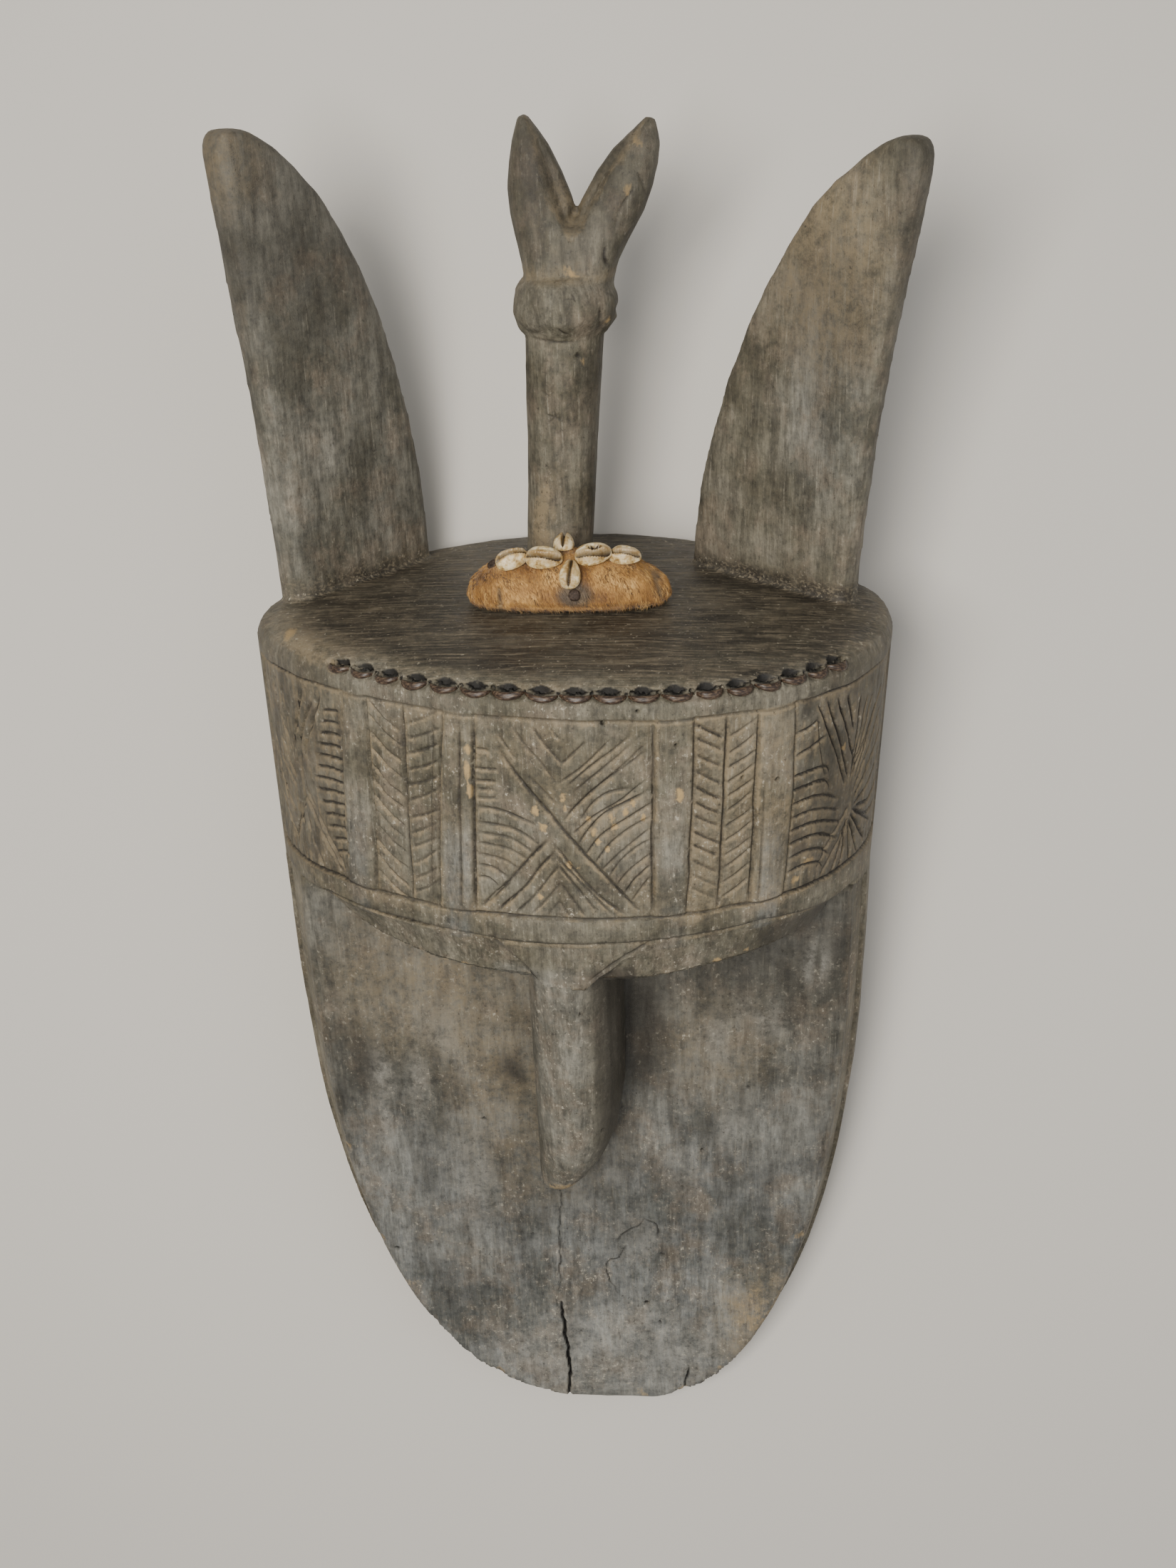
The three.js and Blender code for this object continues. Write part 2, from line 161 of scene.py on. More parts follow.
def add_light(name, place, size, watts, colour):
    data = bpy.data.lights.new(name, "AREA")
    data.energy = watts
    data.size = size
    data.color = linear(colour)[:3]
    light = bpy.data.objects.new(name, data)
    light.location = place
    light.rotation_euler = (LIGHT_AIM - Vector(place)).to_track_quat("-Z", "Y").to_euler()
    bpy.context.scene.collection.objects.link(light)


def make_studio():
    """A plain pale floor, a softbox over the crown, a weaker one on the right, and a pale room."""
    deselect()
    bpy.ops.mesh.primitive_plane_add(size=8, location=(0, 0, 0))
    floor = bpy.context.object
    floor.name = "floor"
    material, _, shader = new_material("matt studio paper")
    shader.inputs["Base Color"].default_value = linear("#d6d2ca")
    shader.inputs["Roughness"].default_value = 0.9
    floor.data.materials.append(material)
    add_light("key_softbox", (-0.28, 0.2, 1.6), 0.6, 26, "#fffaf3")
    add_light("fill_softbox", (1.2, 0.1, 1.3), 1.6, 5, "#f0f3ff")
    world = bpy.data.worlds.new("studio")
    bpy.context.scene.world = world
    world.use_nodes = True
    background = world.node_tree.nodes["Background"]
    background.inputs["Color"].default_value = linear("#f2f2f0")
    background.inputs["Strength"].default_value = 0.42


def deselect():
    if bpy.context.mode != "OBJECT":
        bpy.ops.object.mode_set(mode="OBJECT")
    bpy.ops.object.select_all(action="DESELECT")


def activate(piece):
    deselect()
    piece.select_set(True)
    bpy.context.view_layer.objects.active = piece


def face_outward(piece):
    activate(piece)
    bpy.ops.object.mode_set(mode="EDIT")
    bpy.ops.mesh.select_all(action="SELECT")
    bpy.ops.mesh.normals_make_consistent(inside=False)
    bpy.ops.object.mode_set(mode="OBJECT")


def apply_modifier(piece, kind, **settings):
    activate(piece)
    modifier = piece.modifiers.new(kind.lower(), kind)
    for name, value in settings.items():
        setattr(modifier, name, value)
    bpy.ops.object.modifier_apply(modifier=modifier.name)


def copy_of_node(node, name):
    """A new piece with the CAD node's mesh, its loose triangles merged."""
    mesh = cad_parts[node].data.copy()
    mesh.materials.clear()
    piece = bpy.data.objects.new(name, mesh)
    bpy.context.scene.collection.objects.link(piece)
    activate(piece)
    bpy.ops.object.mode_set(mode="EDIT")
    bpy.ops.mesh.select_all(action="SELECT")
    bpy.ops.mesh.remove_doubles(threshold=0.01 * MM)
    bpy.ops.object.mode_set(mode="OBJECT")
    return piece


def points_of(mesh):
    flat = np.empty(len(mesh.vertices) * 3, np.float32)
    mesh.vertices.foreach_get("co", flat)
    return flat.reshape(-1, 3).astype(float)


def place_points(mesh, points):
    mesh.vertices.foreach_set("co", np.asarray(points, np.float32).ravel())
    mesh.update()


def normals_of(mesh):
    flat = np.empty(len(mesh.vertices) * 3, np.float32)
    mesh.vertex_normals.foreach_get("vector", flat)
    return flat.reshape(-1, 3).astype(float)


def edges_of(mesh):
    flat = np.empty(len(mesh.edges) * 2, np.int32)
    mesh.edges.foreach_get("vertices", flat)
    return flat.reshape(-1, 2)


SMOOTH_PULL = 0.55
SMOOTH_PUSH = -0.57


def smoothed(points, edges, share, rounds, push=SMOOTH_PUSH):
    """Evens out a surface by each point's share from 0 to 1. Each round pulls the points in and
    pushes them back out, and without that push the surface shrinks."""
    count = len(points)
    a, b = edges.T
    degree = np.maximum(np.bincount(a, minlength=count) + np.bincount(b, minlength=count), 1)
    for _ in range(rounds):
        for pull in (SMOOTH_PULL, push):
            total = [
                np.bincount(a, points[b, i], count) + np.bincount(b, points[a, i], count)
                for i in range(3)
            ]
            middle = np.stack(total, 1) / degree[:, None]
            points = points + (pull * share)[:, None] * (middle - points)
    return points


def all_in(mesh, wanted):
    """Which faces have only wanted points."""
    loops = np.empty(len(mesh.loops), np.int32)
    mesh.loops.foreach_get("vertex_index", loops)
    starts = np.empty(len(mesh.polygons), np.int32)
    mesh.polygons.foreach_get("loop_start", starts)
    return np.minimum.reduceat(wanted[loops].astype(np.int8), starts).astype(bool)


def select_faces(piece, wanted):
    """Opens a piece for editing with the wanted faces selected."""
    activate(piece)
    bpy.ops.object.mode_set(mode="EDIT")
    bpy.ops.mesh.select_all(action="DESELECT")
    bpy.ops.object.mode_set(mode="OBJECT")
    piece.data.polygons.foreach_set("select", wanted)
    bpy.ops.object.mode_set(mode="EDIT")
    bpy.ops.mesh.select_mode(type="FACE")


def subdivide_where(piece, wanted):
    """Cuts up the faces whose points are all wanted."""
    select_faces(piece, all_in(piece.data, wanted))
    bpy.ops.mesh.subdivide(number_cuts=1, smoothness=0)
    bpy.ops.object.mode_set(mode="OBJECT")


def write_attribute(mesh, name, values):
    layer = mesh.attributes.new(name, "FLOAT", "POINT")
    layer.data.foreach_set("value", np.asarray(values, np.float32))


# The log's surface


def log_half(y):
    """Half the log's width at height y."""
    crown = HALF_WIDTH + (CHEEK_HALF_WIDTH - HALF_WIDTH) * np.clip(y / FACE_TOP, 0, 1)
    fall = np.clip((FACE_TOP - y) / (FACE_TOP - CHIN), 0, 0.9999)
    return crown * (1 - fall ** OUTLINE_POWER) ** (1 / OUTLINE_POWER)


def log_shift(y):
    """How far the log's middle lies to the right at height y."""
    fall = np.clip((FACE_TOP - y) / (FACE_TOP - CHIN), 0, 1)
    return CHEEK_SHIFT * np.clip(y / FACE_TOP, 0, 1) + CHIN_SHIFT * fall ** 6


def log_skew(y):
    """How much deeper the log's front gets for each mm to the right, at height y."""
    return RIM_SKEW + (RAIL_SKEW - RIM_SKEW) * np.clip(y / RAIL_BOTTOM, 0, 1)


def log_place(p):
    """How far round the log each point is from its front (mm), and its share of the radius."""
    x, y, z = p.T
    side = x - log_shift(y)
    across = side / log_half(y)
    out = np.where(z > 0, z / (FRONT_DEPTH + log_skew(y) * side), z / BACK_DEPTH)
    return HALF_WIDTH * np.arctan2(across, out), np.hypot(across, out)


def onto_log(p, ratio):
    """Puts points that lie close to the log's side wall exactly on it."""
    x, y, z = p.T
    side = (x - log_shift(y)) / ratio
    now = np.where(z > 0, FRONT_DEPTH + log_skew(y) * (x - log_shift(y)), BACK_DEPTH)
    out = z / now / ratio
    depth = np.where(z > 0, FRONT_DEPTH + log_skew(y) * side, BACK_DEPTH)
    return np.stack([log_shift(y) + side, y, out * depth], 1)


# The carved band. Its columns run from the border under the crown's edge to the rail.
FIELD_TOP = -17.5
FIELD_BOTTOM = -136.0
FIELD_LEFT = -243.0
FIELD_RIGHT = 276.0
FIELD_DEPTH = 1.3

# Where each upright line lies at the field's top, middle and bottom
LINES = {
    "left_panel": (-128, -135, -139),
    "left_moulding": (-111, -112, -114),
    "left_spine": (-85, -87, -88),
    "left_leaves": (-60, -66, -69),
    "middle_moulding": (-42, -45, -47),
    "middle_panel": (54, 54, 54),
    "right_moulding": (76, 76, 74),
    "right_spine": (95, 95, 93),
    "right_leaves": (115, 115, 115),
    "right_panel": (139, 142, 139),
}
MOULDINGS = (
    ("left_panel", "left_moulding", 2.3),
    ("left_leaves", "middle_moulding", 2.0),
    ("middle_panel", "right_moulding", 2.0),
    ("right_leaves", "right_panel", 2.4),
)


def line_at(name, y):
    """Where an upright line lies at height y, curving through its three given places."""
    top, middle, bottom = LINES[name]
    t = np.clip((FIELD_TOP - y) / (FIELD_TOP - FIELD_BOTTOM), -0.1, 1.1)
    return top * (1 - t) * (1 - 2 * t) + middle * 4 * t * (1 - t) + bottom * t * (2 * t - 1)


def upright_line(name, from_y=FIELD_TOP):
    return [(float(line_at(name, y)), y) for y in np.linspace(from_y, FIELD_BOTTOM, 7)]


LEAVES = 13


def leaf_strokes(left, spine, right, rng, first, pitch, left_drop, right_rise, curl):
    """The short strokes on both sides of a spine, like a leaf's veins."""
    strokes = []
    for k in range(LEAVES):
        y = first - pitch * k + rng.uniform(-0.8, 0.8)
        a, b = line_at(left, y) + 1.5, line_at(spine, y - left_drop) - 1.6
        drop = left_drop * rng.uniform(0.9, 1.1)
        low = y - drop
        if low > FIELD_BOTTOM - 1:
            middle = ((a + b) / 2, y - drop * (0.5 + curl))
            path = [(a, y), middle, (b, low)]
            strokes.append((path, rng.uniform(2.0, 2.6), rng.uniform(1.2, 1.8)))
        y = first - pitch * (k + 0.35) - 6 + rng.uniform(-0.8, 0.8)
        a, b = line_at(spine, y) + 1.8, line_at(right, y + right_rise) - 1.8
        rise = right_rise * rng.uniform(0.85, 1.1)
        if FIELD_BOTTOM < y and y + rise < FIELD_TOP:
            middle = ((a + b) / 2, y + rise * 0.42)
            path = [(a, y), middle, (b, y + rise)]
            strokes.append((path, rng.uniform(2.0, 2.5), rng.uniform(1.1, 1.6)))
    return strokes


def panel_strokes(paths, width, depth, rng):
    """Cuts along the paths, each a little wider or deeper than the last, as by hand."""
    return [
        (path, width * rng.uniform(0.85, 1.15), depth * rng.uniform(0.8, 1.15)) for path in paths
    ]


def middle_panel(rng):
    """A saltire of two long cuts, with chevrons above and below and arcs at both sides."""
    main = [
        [(-29, -36), (-18, -52), (3, -79), (25, -105), (49, -132)],
        [(-42, -130), (-33, -121), (-20, -106), (-3, -87)],
    ]
    beside = [
        [(-34, -133), (-20, -119), (-9, -105), (0, -94)],
        [(-1, -89), (10, -104), (23, -119), (39, -132)],
        [(5, -76), (12, -67), (24, -55), (36, -45), (50, -35)],
    ]
    chevrons = [
        [(-22, -22), (-14, -33), (-5, -44), (2, -54)],
        [(-10, -23), (-3, -33), (5, -43)],
        [(0, -23), (4, -29)],
        [(-29, -27), (-20, -41)],
        [(-12, -51), (-4, -60), (1, -66)],
        [(5, -43), (18, -30)],
        [(3, -54), (17, -43), (30, -29)],
        [(8, -55), (21, -43), (42, -26)],
        [(12, -58), (27, -44), (43, -30)],
        [(15, -63), (30, -49), (50, -31)],
        [(-23, -133), (-11, -120), (2, -103)],
        [(2, -103), (13, -117), (24, -131)],
        [(-14, -133), (-5, -123), (3, -113)],
        [(3, -113), (10, -124), (16, -133)],
        [(-5, -133), (2, -124)],
        [(2, -124), (7, -133)],
        [(1, -98), (12, -110), (25, -124), (32, -132)],
    ]
    arcs = [
        [(15, -74), (21, -65), (30, -58), (42, -56)],
        [(9, -84), (21, -73), (36, -63), (50, -52)],
        [(12, -91), (18, -81), (30, -69), (50, -59)],
        [(16, -97), (25, -84), (39, -74), (53, -65)],
        [(21, -102), (30, -89), (42, -79), (53, -73)],
        [(25, -105), (36, -94), (53, -80)],
        [(30, -108), (36, -99), (45, -91), (53, -87)],
        [(34, -114), (42, -104), (53, -95)],
        [(39, -119), (45, -110), (53, -102)],
        [(43, -124), (48, -116), (53, -109)],
        [(-43, -71), (-29, -72), (-17, -76), (-10, -79)],
        [(-43, -80), (-28, -81), (-18, -84), (-9, -90)],
        [(-43, -86), (-28, -87), (-18, -91), (-11, -96)],
        [(-44, -92), (-32, -93), (-23, -95), (-14, -100)],
        [(-44, -99), (-34, -100), (-26, -102), (-19, -107)],
        [(-44, -106), (-36, -106), (-27, -111)],
        [(-44, -113), (-38, -113), (-33, -117)],
        [(-44, -49), (-30, -48)],
        [(-43, -56), (-31, -55)],
        [(-42, -37), (-35, -37)],
        [(-42, -61), (-33, -60)],
        [(-43, -66), (-31, -65)],
    ]
    return (
        panel_strokes(main, 3.2, 2.5, rng)
        + panel_strokes(beside, 2.6, 1.8, rng)
        + panel_strokes(chevrons, 2.2, 1.35, rng)
        + panel_strokes(arcs, 2.3, 1.5, rng)
    )


def right_panel(rng):
    """Bundles of cuts that cross at (200, -93), with curved rungs on their left."""
    bundles = [
        [(158, -23), (174, -49), (192, -80)],
        [(166, -23), (180, -47), (195, -77)],
        [(177, -25), (190, -47), (200, -66)],
        [(188, -26), (198, -48)],
        [(214, -34), (207, -54), (200, -78)],
        [(232, -44), (216, -60), (203, -76)],
        [(222, -36), (211, -58), (202, -74)],
        [(199, -105), (173, -132)],
        [(198, -107), (185, -134)],
        [(198, -107), (194, -136)],
        [(201, -107), (208, -136)],
        [(203, -107), (221, -134)],
        [(205, -104), (232, -128)],
        [(207, -101), (246, -122)],
        [(245, -50), (222, -70), (206, -88)],
        [(256, -62), (228, -80), (208, -93)],
        [(262, -78), (232, -92), (209, -98)],
        [(264, -96), (236, -104), (211, -101)],
        [(262, -112), (236, -113), (210, -104)],
        [(243, -35), (222, -56), (207, -80)],
        [(204, -30), (203, -52), (199, -73)],
    ]
    rungs = [[(141, -37), (152, -36), (160, -33)], [(142, -51), (154, -48), (167, -44)]]
    for k in range(8):
        y = -61 - 8.4 * k
        reach = 173 + 2.6 * min(k, 4) + (8 if k > 1 else 0) - 5.5 * max(k - 4, 0)
        rungs.append([(141, y - 2), (157, y - 1), (171, y - 3), (reach, y - 9)])
    extra = [[(159, -30), (163, -51), (169, -69)]]
    return (
        panel_strokes(bundles, 3.2, 2.3, rng)
        + panel_strokes(rungs, 2.4, 1.6, rng)
        + panel_strokes(extra, 2.0, 1.1, rng)
        + panel_strokes([[(199, -97), (181, -111), (169, -125)]], 2.8, 1.9, rng)
    )


def left_panel(rng):
    """The same crossed bundles on the left, more worn, with a ladder of rungs on their right."""
    rungs = []
    for k in range(13):
        y = -31 - 7.1 * k
        reach = -150 - 2.6 * min(k, 6) + 3.4 * max(k - 7, 0)
        rungs.append([(-134, y), ((reach - 134) / 2, y - 0.5), (reach, y - 2.5)])
    arms = [
        [(-151, -26), (-164, -47), (-176, -66)],
        [(-160, -31), (-172, -46), (-181, -63)],
        [(-180, -90), (-166, -108), (-146, -129)],
        [(-175, -89), (-156, -112), (-142, -127)],
        [(-183, -95), (-178, -115), (-166, -134)],
        [(-181, -77), (-180, -48), (-176, -24)],
        [(-170, -26), (-184, -52), (-187, -72)],
        [(-191, -42), (-187, -68)],
        [(-205, -49), (-190, -74)],
        [(-213, -62), (-193, -82)],
        [(-219, -73), (-194, -90)],
        [(-223, -88), (-199, -106)],
        [(-226, -102), (-203, -122)],
        [(-189, -98), (-202, -122)],
        [(-179, -89), (-198, -121), (-203, -135)],
        [(-199, -30), (-196, -48)],
        [(-213, -28), (-208, -44)],
        [(-187, -100), (-190, -133)],
        [(-230, -60), (-222, -84), (-214, -104)],
    ]
    return panel_strokes(rungs, 2.6, 1.8, rng) + panel_strokes(arms, 3.0, 2.5, rng)


def band_strokes():
    """All the band's cuts, as (path, width, depth)."""
    rng = np.random.default_rng(11)
    strokes = leaf_strokes(
        "left_moulding", "left_spine", "left_leaves", rng,
        first=-19, pitch=9.2, left_drop=14, right_rise=9.5, curl=0.14,
    )
    strokes += leaf_strokes(
        "right_moulding", "right_spine", "right_leaves", rng,
        first=-22, pitch=8.8, left_drop=9, right_rise=9, curl=0.05,
    )
    strokes += middle_panel(rng) + right_panel(rng) + left_panel(rng)
    for name in LINES:
        strokes.append((upright_line(name), 2.8, 2.1))
    strokes.append((upright_line("left_spine"), 3.2, 2.4))
    strokes.append(([(a + 0.6, y) for a, y in upright_line("right_spine")], 2.8, 2.0))
    strokes.append(([(a - 7.5, y) for a, y in upright_line("middle_moulding")], 2.2, 1.5))
    strokes.append(([(a - 5.5, y) for a, y in upright_line("left_leaves")], 2.0, 1.2))
    strokes.append(([(a + 5.0, y) for a, y in upright_line("right_leaves", -60)], 1.8, 1.0))
    return strokes


PATH_STEP = 3.0


def rounded(path):
    """Points every few mm along a smooth line through the path's points."""
    path = np.asarray(path, float)
    if len(path) == 2:
        return path
    ends = np.vstack([2 * path[0] - path[1], path, 2 * path[-1] - path[-2]])
    line = []
    for k in range(1, len(ends) - 2):
        p0, p1, p2, p3 = ends[k - 1:k + 3]
        pieces = max(2, int(np.hypot(*(p2 - p1)) / PATH_STEP))
        for t in np.linspace(0, 1, pieces, endpoint=False):
            line.append(
                0.5 * (2 * p1 + (p2 - p0) * t + (2 * p0 - 5 * p1 + 4 * p2 - p3) * t ** 2
                       + (3 * p1 - p0 - 3 * p2 + p3) * t ** 3)
            )
    line.append(path[-1])
    return np.array(line)


def groove_depth(u, v, strokes, taper=0.12):
    """How deep the V cuts are at each place (u, v), in mm. A cut has a low burr at its lips."""
    depth = np.zeros(len(u))
    for path, width, deep in strokes:
        line = rounded(path)
        low, high = line.min(0) - width, line.max(0) + width
        near = np.flatnonzero((u > low[0]) & (u < high[0]) & (v > low[1]) & (v < high[1]))
        if not len(near):
            continue
        place = np.stack([u[near], v[near]], 1)
        lengths = np.hypot(*(line[1:] - line[:-1]).T)
        starts = np.concatenate([[0], np.cumsum(lengths)])
        best = np.full(len(near), 1e9)
        along = np.zeros(len(near))
        for k, size in enumerate(lengths):
            way = (line[k + 1] - line[k]) / max(size, 1e-6)
            t = np.clip((place - line[k]) @ way, 0, size)
            away = np.hypot(*(place - line[k] - t[:, None] * way).T)
            closer = away < best
            best[closer] = away[closer]
            along[closer] = (starts[k] + t[closer]) / starts[-1]
        ends = np.clip(np.minimum(along, 1 - along) / taper, 0.15, 1) ** 0.6
        cut = deep * ends * np.clip(1 - best / (width / 2), 0, 1)
        burr = 0.16 * deep * ends * np.clip(1 - np.abs(best / width - 0.72) / 0.26, 0, 1)
        before = depth[near]
        beside = np.where(before > 0, before, before - burr)
        depth[near] = np.where(cut > 0, np.maximum(before, cut), beside)
    return depth


STROKES = band_strokes()


def band_relief(a, y):
    """The band's ground and mouldings as depth below the log's surface, its cuts, and a share
    that is 1 inside the band's field."""
    flat = np.stack([a, y], 1)
    wander_a = a + 0.5 * noise(flat, 14, 21)
    wander_y = y + 0.6 * noise(flat, 17, 22)
    top = ramp(FIELD_TOP - wander_y, -0.6, 0.9)
    bottom = ramp(wander_y - FIELD_BOTTOM, -0.6, 0.9)
    sides = ramp(a, FIELD_LEFT, FIELD_LEFT + 3) * (1 - ramp(a, FIELD_RIGHT - 3, FIELD_RIGHT))
    inside = top * bottom * sides
    ground = FIELD_DEPTH * inside
    for left, right, height in MOULDINGS:
        start, end = line_at(left, y), line_at(right, y)
        t = np.clip((wander_a - start) / (end - start), 0, 1)
        ground -= inside * height * (1 - np.abs(2 * t - 1) ** 2.6) ** 0.5 * ((t > 0) & (t < 1))
    ground += 0.16 * inside * noise(flat, (3.5, 3.0), 31) + 0.22 * inside * noise(flat, (16, 11), 32)
    ground += 0.4 * inside * ramp(-a, 138, 150) * noise(flat, (3, 9), 34)
    ground += 0.25 * inside * ramp(np.abs(a - 6), 134, 142) * noise(flat, (2.4, 16), 89)
    cuts = groove_depth(wander_a, wander_y, STROKES)
    for border, deep in ((FIELD_TOP - 1.2, 1.1), (FIELD_BOTTOM + 1.2, 1.6)):
        cuts = np.maximum(cuts, deep * np.clip(1 - np.abs(wander_y - border) / 1.4, 0, 1))
    cuts *= inside
    cuts *= 0.85 + 0.3 * noise(flat, 22, 33)
    return ground, cuts, inside


# The eighteen stitches of the thong along the crown's front edge, from one hole to the next
STITCHES = 18
FIRST_HOLE = math.radians(-43.8)
LAST_HOLE = math.radians(57.5)
STITCH_HEIGHT = -4.6
SEAT_HALF = 7.8
SEAT_RISE = 2.3
SEAT_DEPTH = 3.2


def stitch_middle(k):
    """The angle round the log at the middle of stitch k."""
    return FIRST_HOLE + (LAST_HOLE - FIRST_HOLE) * (k + 0.5) / STITCHES


def stitch_seats(a, y):
    """The lens-shaped slot in the wood that each stitch sags in, and the holes between them."""
    depth = np.zeros(len(a))
    for k in range(STITCHES):
        away = (a - HALF_WIDTH * stitch_middle(k)) / SEAT_HALF
        open_by = np.clip(1 - away ** 2, 0, 1)
        rise = y - STITCH_HEIGHT - 0.8
        within = 1 - ramp(np.abs(rise) - SEAT_RISE * open_by, -1.3, 0.3)
        depth = np.maximum(depth, SEAT_DEPTH * within * (open_by > 0.05))
    pitch = HALF_WIDTH * (LAST_HOLE - FIRST_HOLE) / STITCHES
    for k in range(STITCHES + 1):
        away = np.hypot(a - HALF_WIDTH * FIRST_HOLE - pitch * k, y - STITCH_HEIGHT)
        depth = np.maximum(depth, 1.8 * (1 - ramp(away, 0.7, 1.5)))
    return depth


# The rail's lower edge at (a, y). The lip under it lies a little deeper, with a dark crack
# between them on the left, and creases beside the boss.
RAIL_EDGE = (
    (-240, -147), (-189, -149), (-89, -147), (-33, -150), (10, -150.5), (62, -149), (123, -147),
    (212, -156), (260, -158),
)
LIP_STEP = 2.3
LIP_LOWEST = -186.0
LIP_CUTS = (
    ([(-166, -147.5), (-120, -148.5), (-76, -149.5)], 2.8, 3.6),
    ([(-40, -150), (-21, -166), (-12, -176)], 2.6, 1.5),
    ([(55, -150), (36, -162), (17, -176)], 2.6, 1.5),
    ([(-14, -153), (6, -155), (26, -153)], 1.6, 0.6),
)


def lip_depth(a, y):
    """How much deeper the lip is cut than the log's surface that the rail follows."""
    edge = np.interp(a, *np.transpose(RAIL_EDGE)) + 0.5 * noise(np.stack([a, y], 1), 22, 27)
    return LIP_STEP * ramp(edge - y, -0.5, 0.8) + np.clip(groove_depth(a, y, LIP_CUTS), 0, 9)


# Wormholes and small pits with their radii: on the band at (a, y), and on the face and the
# nose at (x, y)
BAND_HOLES = (
    (66, -32, 1.1), (106, -56, 1.1), (128, -60, 1.3), (45, -12.5, 1.2), (27, -19.4, 1.3),
    (-6, -66, 0.8),
)
FACE_HOLES = (
    (76, -350, 1.2), (63, -380, 1.0), (-64, -328, 1.1), (38, -478, 1.6), (47, -495, 1.4),
    (49, -436, 1.3), (-129, -436, 1.8), (-36, -421, 1.2), (16, -300, 0.9), (104, -300, 0.9),
    (7, -209, 1.3), (-13, -247, 1.1),
)

# The face board's cracks as (path, width, depth)
FACE_CRACKS = (
    ([(-17, -360), (-17, -388), (-19, -432), (-20, -480)], 1.5, 1.1),
    ([(-20, -480), (-18, -505), (-16, -536), (-17, -568)], 2.6, 5.0),
    ([(39, -406), (33, -413), (22, -421), (20, -426)], 1.5, 1.4),
    ([(39, -406), (45, -411), (47, -422)], 1.6, 1.5),
    ([(26, -429), (20, -438), (13, -444), (13, -458), (19, -469)], 1.5, 1.4),
    ([(62, -560), (66, -533)], 2.0, 2.2),
)

# The chips along the face's rim: where they are at (x, y), their radii and depths
CHIN_NICKS = (
    (-109, -500, 5, 1.2), (139, -418, 6, 1.4), (-155, -354, 5, 1.3), (-32, -563, 7, 2.0),
    (62, -556, 8, 2.4), (-66, -544, 8, 1.2), (-86, -530, 5, 1.4), (35, -562, 6, 1.2),
    (88, -535, 5, 1.2), (-140, -430, 6, 1.2),
)


def face_crack_depth(x, y):
    """The cracks wander a little, as a split does from fibre to fibre."""
    flat = np.stack([x, y], 1)
    across, up = x + 1.1 * noise(flat, (6, 4), 55), y + 1.0 * noise(flat, 5, 56)
    return groove_depth(across, up, FACE_CRACKS, 0.3)


def hole_depth(u, v, holes, deep=2.6):
    """How deep the round holes are at each place (u, v), in mm."""
    depth = np.zeros(len(u))
    for a, y, radius in holes:
        away = np.hypot(u - a, v - y) / radius
        depth = np.maximum(depth, deep * (1 - ramp(away, 0.55, 1.15)))
    return depth


def regions(p):
    """Where each point lies round the log, and which part of the carving it belongs to, as shares
    from 0 to 1."""
    x, y, z = p.T
    round_log, ratio = log_place(p)
    side_wall = (ratio > 0.975) & (y < -3) & (y > CHIN)
    front = ramp(z, -40, 0)
    above = ramp(y, 8, 16)
    horn = above * (np.abs(x) > 60)
    face = ramp(-y, 158, 163) * (1 - ramp(np.abs(z - FACE_FRONT), 4, 6))
    nose = ramp(-y, 166, 172) * ramp(z, FACE_FRONT + 4, FACE_FRONT + 10) * (np.abs(x) < 40)
    top = ramp(y, -6, -2) * (1 - above) * (ratio < 1.01)
    inner = (ratio < 0.93) & (y < -14) & ((z < FACE_FRONT - 16) | (y > -146))
    lip = (y < RAIL_BOTTOM + 9) & (y > LIP_LOWEST) & (z > FACE_FRONT + 3) & (ratio > 0.93)
    rim = ramp(ratio, 0.88, 0.91) * ramp(y, -13, -11) * (y < 3) * (z > 0)
    return SimpleNamespace(
        a=round_log, ratio=ratio, wall=side_wall, front=front, above=above, horn=horn, face=face,
        nose=nose, top=top, inner=inner.astype(float), lip=lip.astype(float), rim=rim,
    )


# The body's mesh: its voxels in mm, its triangles in all and outside the carved places, and the
# height in mm where the horns' tips begin
BODY_VOXEL = 1.6
BODY_TRIANGLES = 196000
PLAIN_TRIANGLES = 72000
HORN_TIPS = 226


def thin_out(piece, triangles, group=""):
    """Takes away the least needed triangles of the whole piece, or of a group of its points."""
    now = sum(len(face.vertices) - 2 for face in piece.data.polygons)
    share = min(1, triangles / now)
    apply_modifier(piece, "DECIMATE", decimate_type="COLLAPSE", ratio=share, vertex_group=group)


